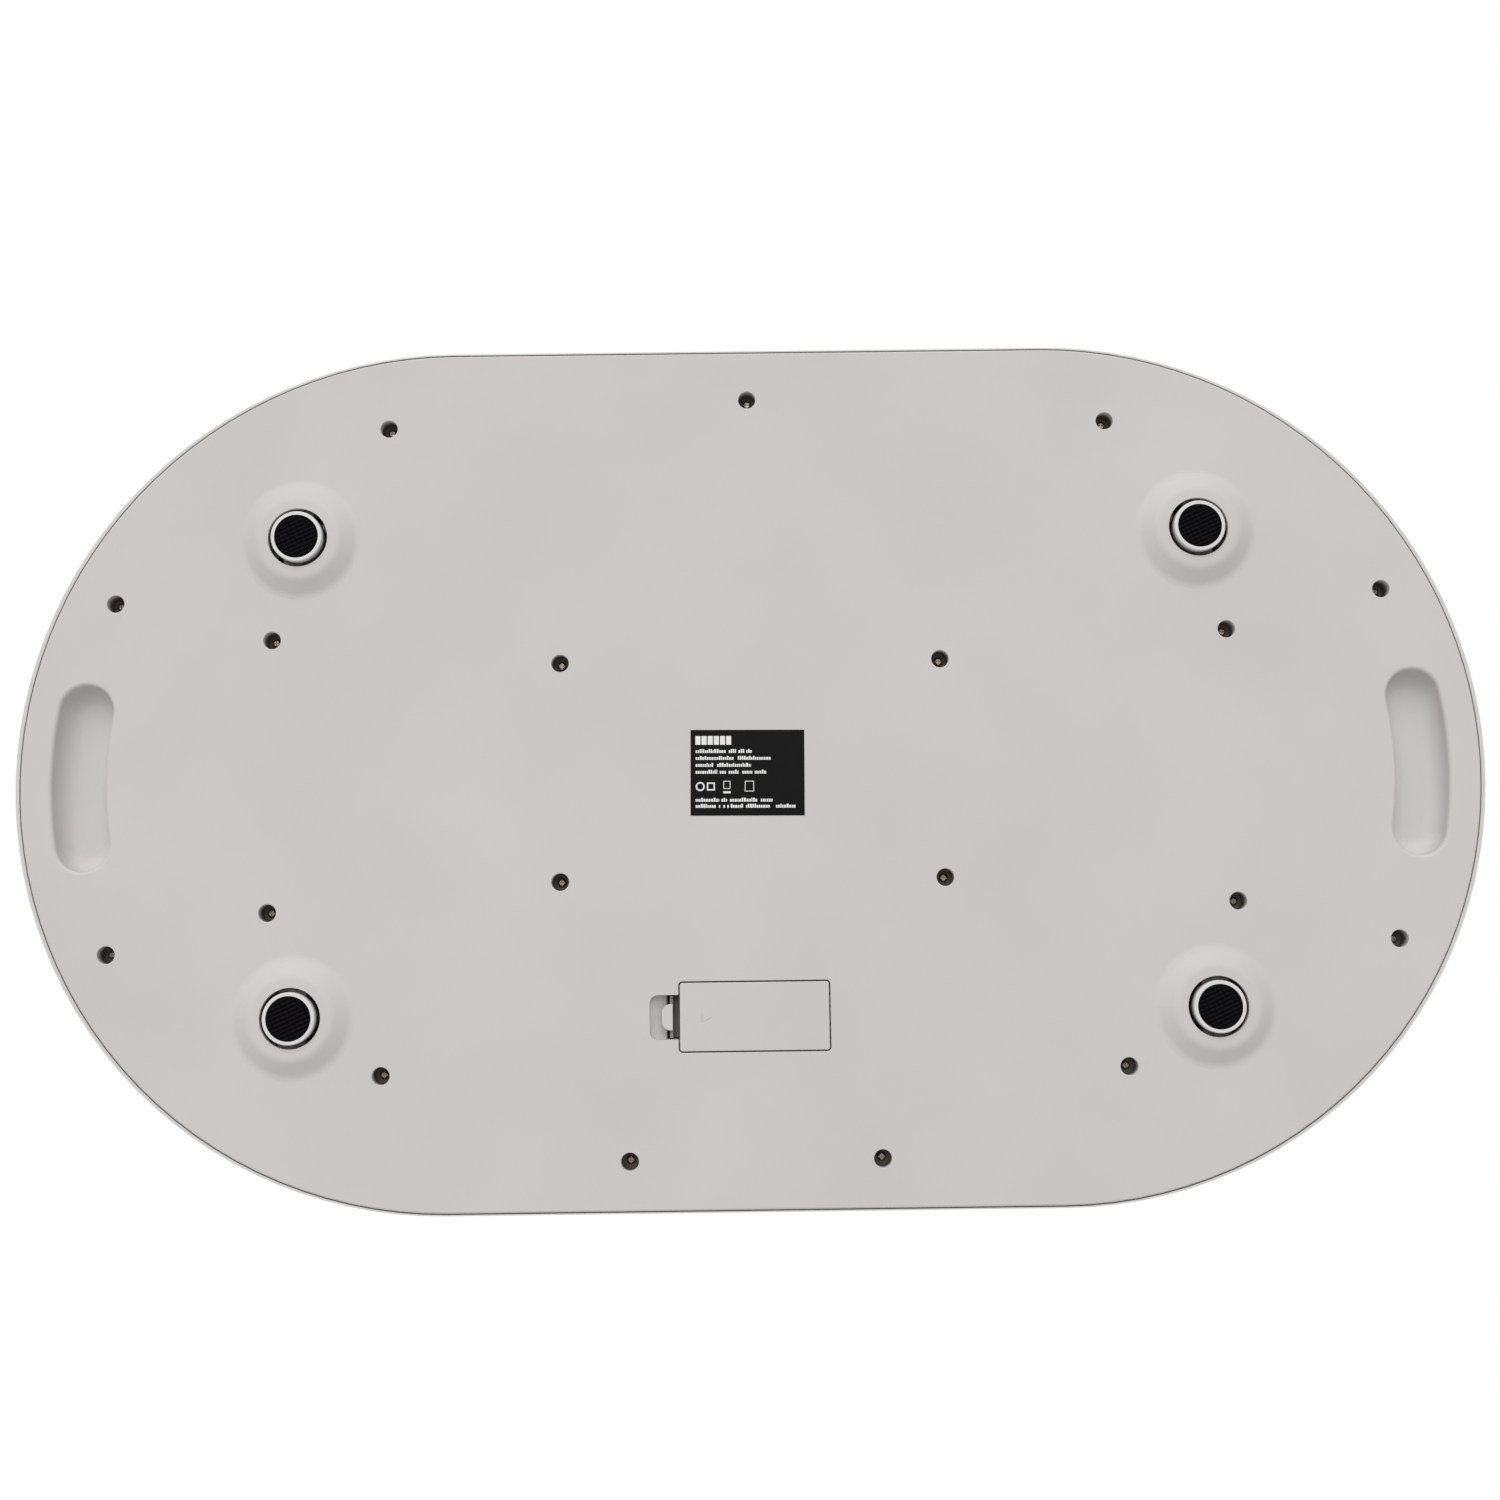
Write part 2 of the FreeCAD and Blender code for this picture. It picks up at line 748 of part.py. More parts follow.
def cut_battery_bay(body):
    """The door's opening with its ledge, the bay for the cells, the hooks' slots and the latch recess."""
    opening = Drawing(body, "door_opening", offset=size.cover_plane)
    reach = size.door_half_length + size.door_gap
    half = size.door_half_width + size.door_gap
    opening.rounded(-reach, size.bay_y - half, reach, size.bay_y + half, size.door_corner + size.door_gap)
    pocket(body, opening, bay_ledge - size.cover_plane)
    far_x = SIZES["door_half_length"] + SIZES["door_gap"] + 0.1
    far_y = SIZES["door_half_width"] + SIZES["door_gap"] + 0.1

    def opening_edge(edge):
        bounds = edge.BoundBox
        inside = abs(bounds.Center.x) < far_x and abs(bounds.Center.y - SIZES["bay_y"]) < far_y
        return flat_at(edge, SIZES["cover_plane"]) and inside

    round_edges(body, size.door_edge_round, opening_edge)
    bay = Drawing(body, "battery_bay", offset=bay_ledge)
    bay.rectangle(
        -size.bay_half_length,
        size.bay_y - size.bay_half_width,
        size.bay_half_length,
        size.bay_y + size.bay_half_width,
    )
    pocket(body, bay, size.bay_ceiling - bay_ledge)

    slots = Drawing(body, "hook_slots", offset=cover_inner)
    notches = Drawing(body, "hook_notches", offset=bay_ledge)
    tabs = Drawing(body, "solder_tab_slots", offset=size.aaa_z + 1.5)
    bay_edge = -(size.bay_half_length - 0.1)
    for side in BOTH:
        y = size.bay_y + side * size.hook_spread
        reach = size.hook_width / 2 + size.hook_play
        slots.rectangle(-(size.door_half_length + size.hook_room), y - reach, bay_edge, y + reach)
        notches.rectangle(-(size.door_half_length + size.door_gap), y - reach, bay_edge, y + reach)
        cell_y = size.bay_y + side * size.aaa_pitch / 2
        tabs.rectangle(
            -(size.door_half_length + size.bay_box_hook_side + 0.1),
            cell_y - size.lug_slot_half,
            bay_edge,
            cell_y + size.lug_slot_half,
        )
    pocket(body, slots, size.hook_thick * 2 + 0.1)
    pocket(body, notches, cover_inner - bay_ledge)
    pocket(body, tabs, size.lug_slot_half)

    recess = Drawing(body, "latch_recess", plane="XZ_Plane", offset=-size.bay_y)
    inner_end = size.door_half_length + size.latch_bend_radius * 2 + size.latch_thick - size.latch_gap
    mouth = size.cover_plane - 0.2
    recess.polygon(
        [
            (size.bay_half_length - 0.2, bay_ledge - 0.1),
            (size.door_half_length + 0.3, bay_ledge - 0.1),
            (size.door_half_length + 0.3, mouth),
            (size.recess_end, mouth),
            (size.recess_end, size.cover_plane + size.recess_rim),
            (size.recess_end - size.recess_ramp_run, size.cover_plane + size.recess_ramp_top),
            (inner_end + 0.4, size.cover_plane + size.recess_ceiling),
            (inner_end, size.cover_plane + size.recess_ceiling + 1.0),
            (inner_end, size.latch_bend_z + size.latch_headroom),
            (size.bay_half_length - 0.2, size.latch_bend_z + size.latch_headroom),
        ]
    )
    pocket(body, recess, size.recess_half_width * 2, both_ways=True)

    def outer_recess_corner(edge):
        bounds = edge.BoundBox
        upright = near(bounds.ZLength, SIZES["recess_rim"]) and bounds.XLength < 0.01
        return upright and near(bounds.XMin, SIZES["recess_end"]) and bounds.YLength < 0.01

    round_edges(body, size.recess_corner, outer_recess_corner)


# ---------------------------------------------------------------- tray


def dished_form(label, inset, floor_z, bottom_z):
    """The tray's outer form as a solid, or the room inside it, which is the same form made thinner."""
    top = size.rim_top - inset
    rise = size.rim_top - size.dish_floor
    outer_low = size.tray_radius - inset
    outer_top = size.tray_radius + size.tray_draft_run - inset
    shift = inset * (size.dish_slope / 2).tan()
    rim_inner = size.tray_radius + size.tray_draft_run - size.rim_width + shift
    slope_foot = rim_inner - rise / size.dish_slope.tan()
    half = [
        (outer_low, bottom_z),
        (outer_top, top),
        (rim_inner, top),
        (slope_foot, floor_z),
    ]
    body = new_body(label)
    middle = Drawing(body, f"{label}_middle", plane="YZ_Plane")
    middle.polygon(half + [(-y, z) for y, z in reversed(half)])
    pad(body, middle, size.tray_end_centre * 2, both_ways=True)
    for side in BOTH:
        name = f"{label}_{'right' if side > 0 else 'left'}_end"
        end = Drawing(body, name, "YZ_Plane", size.tray_end_centre * side)
        end.polygon([(0, bottom_z)] + half + [(0, floor_z)])
        revolve(body, end, 180.0, flip=side > 0)
    return body


def make_ribs():
    """The crossed ribs under the dish's floor."""
    half = size.tray_rib_thick / 2
    reach = size.tray_rib_reach
    low, high = size.dish_floor - size.tray_rib_depth, size.dish_floor
    ribs = []
    for step in (-1, 0, 1):
        y = size.tray_rib_pitch * step
        ribs.append(box("long_rib", (-reach, y - half, low), (reach, y + half, high)))
    for step in (-2, -1, 1, 2):
        x = size.tray_rib_pitch * step
        front, rear = size.tray_rib_front, size.tray_rib_rear
        ribs.append(box("cross_rib", (x - half, front, low), (x + half, rear, high)))
    return ribs


def make_tray():
    outer = dished_form("tray_outside", Formula.of(0), size.dish_floor, size.lip_bottom)
    rim_outer = SIZES["tray_radius"] + SIZES["tray_draft_run"]
    rim_inner = rim_outer - SIZES["rim_width"]

    def on_rim(radius):
        def test(edge):
            end = edge.Vertexes[0].Point
            away = math.hypot(max(abs(end.x) - SIZES["tray_end_centre"], 0.0), end.y)
            return flat_at(edge, SIZES["rim_top"]) and near(away, radius, 0.5)

        return test

    round_edges(outer, size.rim_outer_round, on_rim(rim_outer))
    round_edges(outer, size.rim_inner_round, on_rim(rim_inner))
    round_edges(outer, size.dish_round, lambda edge: flat_at(edge, SIZES["dish_floor"]))
    pod = Drawing(outer, "pod_block", offset=floor_under)
    pod.rectangle(-size.pod_half_width, size.pod_front, size.pod_half_width, size.pod_back)
    pad(outer, pod, size.pod_top - floor_under)

    def pod_upright(edge):
        bounds = edge.BoundBox
        at_back = near(bounds.YMin, SIZES["pod_back"]) and near(bounds.YMax, SIZES["pod_back"])
        return at_back and bounds.ZLength > 10

    round_edges(outer, size.pod_corner_round, pod_upright)

    def pod_brow(edge):
        return flat_at(edge, SIZES["pod_top"]) and edge.BoundBox.YMax > SIZES["pod_front"] + 5

    round_edges(outer, size.pod_edge_round, pod_brow)

    room = dished_form("tray_room", size.tray_wall, floor_under, size.lip_bottom - 2.0)
    pod_room = Drawing(room, "pod_room", offset=floor_under - 5.0)
    pod_room.rectangle(
        -(size.pod_half_width - size.tray_wall),
        size.pod_front - 2.0,
        size.pod_half_width - size.tray_wall,
        size.pod_back - size.tray_wall,
    )
    pad(room, pod_room, pod_under - floor_under + 5.0)

    posts = [
        cylinder(f"post_{i}", size.boss_post_radius, x, y, well_top, size.rim_top)
        for i, (x, y) in enumerate(RIM_SPOTS + INNER_SPOTS)
    ]
    for x, y in BOARD_SPOTS:
        posts.append(cylinder("board_post", size.board_post_radius, x, y, size.board_top, pod_under + 1))
    solid_room = cut("tray_hollow", room, fuse("tray_posts", posts + make_ribs()))

    low, high = well_top - size.cut_lead, well_top + size.screw_length - size.cut_lead
    pilots = [
        cylinder(f"pilot_{i}", size.pilot_radius, x, y, low, high)
        for i, (x, y) in enumerate(RIM_SPOTS + INNER_SPOTS)
    ]
    low, high = size.board_top - size.cut_lead, size.board_top + size.board_pilot_depth
    for x, y in BOARD_SPOTS:
        pilots.append(cylinder("board_pilot", size.board_screw_radius, x, y, low, high))
    rebate = new_body("cover_rebate")
    rebate_sketch = Drawing(rebate, "rebate_outline", offset=size.lip_bottom - size.cut_lead)
    rebate_sketch.stadium(size.cover_end_centre, size.cover_radius + size.seam_gap)
    pad(rebate, rebate_sketch, cover_inner - size.lip_bottom + size.cut_lead)

    half_length, half_width = size.window_length / 2, size.window_width / 2
    seat = box(
        "window_seat",
        (-half_length, size.window_y - half_width, size.pod_top - size.window_thick),
        (half_length, size.window_y + half_width, size.pod_top + size.cut_lead),
    )
    half_length, half_width = half_length - size.view_margin, half_width - size.view_margin
    sight = box(
        "window_opening",
        (-half_length, size.window_y - half_width, pod_under - size.cut_lead),
        (half_length, size.window_y + half_width, size.pod_top),
    )
    key_holes = new_body("key_holes")
    outlines = Drawing(key_holes, "key_outlines", offset=pod_under - size.cut_lead)
    for x in KEYS.values():
        outlines.belt(key_ends(x), size.key_radius + size.key_play)
    pad(key_holes, outlines, size.rim_top - pod_under)

    tools = fuse("tray_cutters", [solid_room, rebate, seat, sight, key_holes] + pilots)
    tray = cut("tray", outer, tools)
    doc.recompute()
    return keep(tray, "tray")


# ---------------------------------------------------------------- screws


def make_screw(label, radius, head_radius, head_height, length):
    """A pan-head screw that points up, with its head's seat at the origin and a cross recess."""
    body = new_body(label)
    half = Drawing(body, f"{label}_half", plane="XZ_Plane")
    half.polygon(
        [
            (0, -head_height),
            (head_radius * 0.55, -head_height),
            (head_radius * 0.9, -head_height * 0.65),
            (head_radius, -head_height * 0.15),
            (head_radius, 0),
            (radius, 0),
            (radius, length - radius),
            (radius * 0.3, length),
            (0, length),
        ]
    )
    revolve(body, half)
    for way, (a, b) in enumerate(((0.72, 0.13), (0.13, 0.72))):
        cross = Drawing(body, f"{label}_cross_{way}", offset=-head_height)
        cross.rectangle(-head_radius * a, -head_radius * b, head_radius * a, head_radius * b)
        pocket(body, cross, head_height * 0.55)
    return body


def make_case_screws():
    head = size.head_radius, size.head_height
    master = make_screw("case_screw", size.screw_radius, *head, size.screw_length)
    for label, spots in (("rim_screws", RIM_SPOTS), ("inner_screws", INNER_SPOTS)):
        copies = [placed_copy(f"{label}_{i}", master, x, y, head_seat) for i, (x, y) in enumerate(spots)]
        keep(group(label, copies), label)


# ---------------------------------------------------------------- feet and load cells


def make_foot(name, x, y):
    cup = new_body(f"foot_cup_{name}")
    half = Drawing(cup, f"cup_half_{name}", plane="XZ_Plane")
    hollow_base = size.pad_thick + size.cup_floor
    wall_top = size.pad_thick + size.cup_height
    wall_inside = size.foot_radius - size.cup_wall
    pad_room = size.pad_radius + size.pad_play
    half.polygon(
        [
            (0, size.pad_thick),
            (pad_room, size.pad_thick),
            (pad_room, size.ring_bottom),
            (size.foot_radius - size.cup_edge, size.ring_bottom),
            (size.foot_radius, size.ring_bottom + size.cup_edge),
            (size.foot_radius, hollow_base),
            (size.foot_radius - size.cup_edge, wall_top),
            (wall_inside, wall_top),
            (wall_inside, hollow_base),
            (size.stem_radius, hollow_base),
            (size.stem_radius, size.cell_bottom),
            (0, size.cell_bottom),
        ]
    )
    revolve(cup, half)
    # two ears that keep the foot from dropping out of its hole
    ears = Drawing(cup, f"ears_{name}", offset=size.ear_bottom)
    knobs = Drawing(cup, f"ear_knobs_{name}", offset=size.ear_bottom)
    root = wall_inside + size.ear_bite
    for low, high in ((root, size.ear_reach), (-size.ear_reach, -root)):
        ears.rectangle(-size.ear_half_width, low, size.ear_half_width, high)
    for side in BOTH:
        knobs.circle(0, side * size.ear_knob_place, size.ear_knob_radius)
    pad(cup, ears, size.ear_thick)
    pad(cup, knobs, size.ear_knob_height, down=True)
    put(cup, x, y)
    keep(cup, f"foot_cup_{name}")

    rubber = new_body(f"foot_pad_{name}")
    disc = Drawing(rubber, f"pad_disc_{name}")
    disc.circle(0, 0, size.pad_radius)
    pad(rubber, disc, size.pad_thick)
    round_edges(rubber, size.pad_round, lambda edge: flat_at(edge, 0.0))
    put(rubber, x, y)
    keep(rubber, f"foot_pad_{name}")


def make_load_cell(name, x, y, facing):
    """A square spring-steel plate; a three-sided slot frees the tongue that the foot presses on."""
    half = size.cell_side / 2
    tongue = size.tongue_half
    slot = size.cell_slot
    plate = new_body(f"load_cell_{name}")
    outline = Drawing(plate, f"cell_outline_{name}", offset=size.cell_bottom)
    outline.rounded(-half, -half, half, half, size.cell_corner)
    pad(plate, outline, size.cell_thick)
    gap = Drawing(plate, f"cell_gap_{name}", offset=size.cell_bottom)
    gap.polygon(
        [
            (-(tongue + slot), -tongue * facing),
            (-tongue, -tongue * facing),
            (-tongue, tongue * facing),
            (tongue, tongue * facing),
            (tongue, -tongue * facing),
            (tongue + slot, -tongue * facing),
            (tongue + slot, (tongue + slot) * facing),
            (-(tongue + slot), (tongue + slot) * facing),
        ]
    )
    pocket(plate, gap, size.cell_thick)
    round_hole = Drawing(plate, f"cell_hole_{name}", offset=size.cell_bottom)
    round_hole.circle(0, -(tongue + size.cell_hole_offset) * facing, size.cell_hole_radius)
    pocket(plate, round_hole, size.cell_thick)
    put(plate, x, y)
    keep(plate, f"load_cell_{name}")

    seat = new_body(f"load_cell_seat_{name}")
    side = size.seat_side / 2
    open_half = size.seat_opening / 2
    ring = Drawing(seat, f"seat_ring_{name}", offset=cell_top)
    ring.rounded(-side, -side, side, side, size.cell_corner)
    ring.rounded(-open_half, -open_half, open_half, open_half, size.seat_opening_corner)
    pad(seat, ring, floor_under - cell_top)
    clips = Drawing(seat, f"seat_clips_{name}", offset=size.cell_bottom - size.clip_thick)
    inner = half + size.clip_play
    for x_low, x_high in ((inner, side), (-side, -inner)):
        clips.rectangle(x_low, -size.clip_half, x_high, size.clip_half)
    pad(seat, clips, size.cell_thick + size.clip_thick)
    put(seat, x, y)
    keep(seat, f"load_cell_seat_{name}")


def make_gauges():
    """The epoxy blob over the strain gauge of each cell, on top of the tongue's root."""
    blobs = []
    for name, (x, y) in FEET.items():
        facing = CORNERS[name][1]
        y_mid = y - facing * (size.tongue_half - 0.5)
        half_length, half_width = size.gauge_half_length, size.gauge_half_width
        low = (x - half_length, y_mid - half_width, cell_top)
        high = (x + half_length, y_mid + half_width, cell_top + size.gauge_thick)
        blobs.append(box(f"gauge_{name}", low, high))
    keep(group("strain_gauges", blobs), "strain_gauges")


# ---------------------------------------------------------------- battery door, latch, cells and contacts


def make_door():
    body = new_body("battery_door")
    plate = Drawing(body, "door_plate", offset=size.cover_plane)
    reach, half = size.door_half_length, size.door_half_width
    plate.rounded(-reach, size.bay_y - half, reach, size.bay_y + half, size.door_corner)
    pad(body, plate, size.door_thick)
    round_edges(body, size.door_edge_round, lambda edge: flat_at(edge, SIZES["cover_plane"]))

    tongue_z = cover_inner + size.hook_rise
    root = -(reach - size.hook_root)
    stems = Drawing(body, "hook_stems", offset=door_top)
    hooks = Drawing(body, "hook_tongues", offset=tongue_z)
    for side in BOTH:
        y = size.bay_y + side * size.hook_spread
        low, high = y - size.hook_width / 2, y + size.hook_width / 2
        stems.rectangle(root - size.hook_thick, low, root, high)
        hooks.rectangle(-(reach + size.hook_reach), low, root, high)
    pad(body, stems, tongue_z - door_top)
    pad(body, hooks, size.hook_thick)

    leaf = Drawing(body, "latch_leaf", offset=door_top)
    leaf.rectangle(
        reach - size.leaf_inset - size.latch_thick,
        size.bay_y - size.latch_half_width,
        reach - size.leaf_inset,
        size.bay_y + size.latch_half_width,
    )
    pad(body, leaf, size.latch_bend_z - size.latch_gap * 2 - door_top)

    # a raised arrow that shows which way the door lets go, and its bar
    mark = Drawing(body, "arrow_mark", offset=size.cover_plane)
    arrow_base = reach - size.arrow_base
    low, high = size.bay_y - size.arrow_half, size.bay_y + size.arrow_half
    mark.polygon([(arrow_base, high), (reach - size.arrow_tip, size.bay_y), (arrow_base, low)])
    mark.rectangle(reach - size.arrow_bar_start, low, reach - size.arrow_bar_end, high)
    pad(body, mark, size.arrow_height, down=True)
    return keep(body, "battery_door")


def make_latch():
    """The sprung U beyond the door's edge: its bend, outer leaf and finger tab."""
    body = new_body("door_latch")
    inner_x = size.door_half_length - size.leaf_inset - size.latch_thick
    centre_x = inner_x + size.latch_thick / 2 + size.latch_bend_radius
    outer_leaf = inner_x + size.latch_bend_radius * 2
    width = size.latch_half_width * 2
    legs = (
        ("root", inner_x, size.latch_bend_z - size.latch_gap, width),
        ("leaf", outer_leaf, size.leaf_end, width),
        ("neck", outer_leaf, size.latch_tip, size.tab_half_width * 2),
    )
    for name, x, low, leg_width in legs:
        leg = Drawing(body, f"latch_{name}", plane="XZ_Plane", offset=-size.bay_y)
        leg.rectangle(x, low, x + size.latch_thick, size.latch_bend_z + 0.01)
        pad(body, leg, leg_width, both_ways=True)
        if name == "root":
            bend = Drawing(body, "latch_bend", plane="XZ_Plane", offset=-size.bay_y)
            bend_arcs(bend, centre_x, size.latch_bend_z, size.latch_bend_radius, size.latch_thick)
            pad(body, bend, width, both_ways=True)
    tab = Drawing(body, "finger_tab", offset=size.latch_tip)
    low, high = size.bay_y - size.tab_half_width, size.bay_y + size.tab_half_width
    tab.rectangle(outer_leaf + size.latch_thick - 0.2, low, size.tab_end, high)
    pad(body, tab, size.tab_thick)

    def tab_corner(edge):
        bounds = edge.BoundBox
        upright = bounds.XLength < 0.01 and bounds.YLength < 0.01
        return upright and near(bounds.XMin, SIZES["tab_end"]) and near(bounds.ZLength, SIZES["tab_thick"])

    round_edges(body, size.tab_corner, tab_corner)
    return keep(body, "door_latch")


def bend_arcs(drawing, x, z, radius, thick):
    """A half ring that opens downwards, closed by two short straight ends."""
    rings = []
    for away in (radius + thick / 2, radius - thick / 2):
        ring = Part.Circle(Vector(x.value, z.value, 0), Vector(0, 0, 1), away.value)
        arc = drawing.sketch.addGeometry(Part.ArcOfCircle(ring, 0, math.pi))
        drawing.pin(arc, MIDDLE, x, z)
        drawing.constrain("Radius", arc, amount=away)
        rings.append(arc)
    for point, side in ((START, 1), (END, -1)):
        spots = [Vector(x.value + side * (radius.value + s * thick.value / 2), z.value, 0) for s in (1, -1)]
        line = drawing.sketch.addGeometry(Part.LineSegment(*spots))
        drawing.constrain("Coincident", line, START, rings[0], point)
        drawing.constrain("Coincident", line, END, rings[1], point)
        drawing.constrain("Horizontal", line)


def make_cells():
    for name, side in (("rear", 1), ("front", -1)):
        y = size.bay_y + side * size.aaa_pitch / 2
        tip = size.contact_x - size.bump_height
        # the rear cell's button faces +X, the front cell's faces -X
        shoulder, tail = tip - size.aaa_nub, tip - size.aaa_length
        can_ends = (tail, shoulder) if side > 0 else (-shoulder, -tail)
        nub_ends = (shoulder, tip) if side > 0 else (-tip, -shoulder)
        can = lying_cylinder(f"can_{name}", size.aaa_radius, *can_ends, y, size.aaa_z)
        nub = lying_cylinder(f"nub_{name}", size.aaa_nub_radius, *nub_ends, y, size.aaa_z)
        keep(fuse(f"battery_cell_{name}", [can, nub]), f"battery_cell_{name}")


def make_spring(label, x, y, way):
    """A coil between a contact plate and the flat end of a cell."""
    free = size.contact_x * 2 - size.aaa_length - size.bump_height
    coil = doc.addObject("Part::Helix", f"{label}_helix")
    bind(coil, "Pitch", (free - size.spring_wire * 2 - 0.2) / size.spring_turns)
    bind(coil, "Height", free - size.spring_wire * 2 - 0.2)
    bind(coil, "Radius", size.spring_radius)
    wire = doc.addObject("Part::Circle", f"{label}_wire")
    bind(wire, "Radius", size.spring_wire)
    wire.Placement = FreeCAD.Placement(Vector(), FreeCAD.Rotation(Vector(1, 0, 0), 90))
    bind(wire, "Placement.Base.x", size.spring_radius)
    sweep = doc.addObject("Part::Sweep", label)
    sweep.Sections = [wire]
    sweep.Spine = (coil, [])
    sweep.Solid = True
    sweep.Frenet = True
    sweep.Placement = FreeCAD.Placement(Vector(), FreeCAD.Rotation(Vector(0, 1, 0), 90 * way))
    return put(sweep, x + way * (size.spring_wire + 0.05), y, size.aaa_z)


def make_contacts():
    low, high = size.contact_low, size.contact_high
    inner, outer = size.contact_x, size.contact_x + size.contact_thick
    rear, front = size.bay_y + size.aaa_pitch / 2, size.bay_y - size.aaa_pitch / 2
    half = size.contact_half_width

    def bump(label, x_low, x_high, y):
        return lying_cylinder(label, size.bump_radius, x_low, x_high, y, size.aaa_z)

    link_plate = box("link_plate", (inner, front - half, low), (outer, rear + half, high))
    link = fuse("link_body", [link_plate, bump("link_bump", inner - size.bump_height, inner, rear)])
    spring = make_spring("link_spring", inner, front, -1)
    keep(group("contact_link", [link, spring]), "contact_link")

    plates = {}
    lug_low = size.aaa_z + size.lug_rise
    for name, y in (("negative", rear), ("positive", front)):
        plate = box(f"{name}_plate", (-outer, y - half, low), (-inner, y + half, high))
        lug = box(
            f"{name}_lug",
            (-(size.door_half_length + size.lug_reach), y - size.lug_half_width, lug_low),
            (-inner, y + size.lug_half_width, lug_low + size.contact_thick),
        )
        plates[name] = [plate, lug]
    negative = group("contact_negative", [fuse("negative_body", plates["negative"])])
    negative.Links = negative.Links + [make_spring("negative_spring", -inner, rear, 1)]
    keep(negative, "contact_negative")
    tip = bump("positive_bump", -inner, -(inner - size.bump_height), front)
    keep(fuse("contact_positive", plates["positive"] + [tip]), "contact_positive")


# ---------------------------------------------------------------- label


def make_label():
    label = doc.addObject("Part::Box", "rating_label")
    bind(label, "Length", size.label_length)
    bind(label, "Width", size.label_width)
    bind(label, "Height", size.label_thick)
    turn = math.radians(SIZES["label_turn"])
    label.Placement = FreeCAD.Placement(Vector(), FreeCAD.Rotation(Vector(0, 0, 1), SIZES["label_turn"]))
    put(
        label,
        size.label_x - size.label_length / 2 * math.cos(turn) + size.label_width / 2 * math.sin(turn),
        size.label_y - size.label_length / 2 * math.sin(turn) - size.label_width / 2 * math.cos(turn),
        size.cover_plane - size.label_thick,
    )
    keep(label, "rating_label")


# ---------------------------------------------------------------- display, board and keys

KEYS = {"unit": -1 * size.key_pitch, "power": Formula.of(0), "hold": size.key_pitch}


def key_ends(x):
    """The centres of the two round ends of the key whose middle is at x."""
    flat = size.key_half_length - size.key_radius
    return [(x - flat, size.key_y), (x + flat, size.key_y)]


def make_display():
    half_length = size.window_length / 2 - size.window_play
    half_width = size.window_width / 2 - size.window_play
    window = box(
        "lcd_window",
        (-half_length, size.window_y - half_width, size.pod_top - size.window_thick),
        (half_length, size.window_y + half_width, size.pod_top),
    )
    keep(window, "lcd_window")
    glass_x, glass_y = size.glass_length / 2, size.glass_width / 2
    glass = box(
        "lcd_glass",
        (-glass_x, size.window_y - glass_y, size.glass_bottom),
        (glass_x, size.window_y + glass_y, size.glass_bottom + size.glass_thick),
    )
    keep(glass, "lcd_glass")
    frame = new_body("lcd_frame")
    ring = Drawing(frame, "frame_ring", offset=size.board_top)
    for grow in (size.frame_wall, size.frame_play):
        half_length, half_width = glass_x + grow, glass_y + grow
        ring.rectangle(
            -half_length, size.window_y - half_width, half_length, size.window_y + half_width
        )
    pad(frame, ring, size.frame_top - size.board_top)
    keep(frame, "lcd_frame")
    strips = []
    for side in BOTH:
        y = size.window_y + side * (glass_y - size.strip_width)
        low = (size.strip_inset - glass_x, y - size.strip_width / 2, size.board_top)
        high = (glass_x - size.strip_inset, y + size.strip_width / 2, size.glass_bottom)
        strips.append(box("strip", low, high))
    keep(group("contact_strips", strips), "contact_strips")


def make_board():
    body = new_body("main_board")
    outline = Drawing(body, "board_outline", offset=size.board_top - size.board_thick)
    outline.rounded(
        -size.board_half_length,
        size.board_front,
        size.board_half_length,
        size.board_back,
        size.board_corner,
    )
    pad(body, outline, size.board_thick)
    holes = Drawing(body, "board_holes", offset=size.board_top - size.board_thick)
    for x, y in BOARD_SPOTS:
        holes.circle(x, y, size.board_screw_radius + 0.2)
    pocket(body, holes, size.board_thick)
    keep(body, "main_board")

    radius = size.board_screw_radius - 0.05
    head = size.head_radius * 0.75, size.head_height * 0.8
    master = make_screw("board_screw", radius, *head, size.board_screw_length)
    under = size.board_top - size.board_thick
    copies = [
        placed_copy(f"board_screw_{i}", master, x, y, under) for i, (x, y) in enumerate(BOARD_SPOTS)
    ]
    keep(group("board_screws", copies), "board_screws")

    blob = doc.addObject("Part::Cone", "chip_blob")
    bind(blob, "Radius1", size.blob_radius - size.blob_taper)
    bind(blob, "Radius2", size.blob_radius)
    bind(blob, "Height", size.blob_height)
    put(blob, 0, size.blob_y, under - size.blob_height)
    keep(blob, "chip_blob")


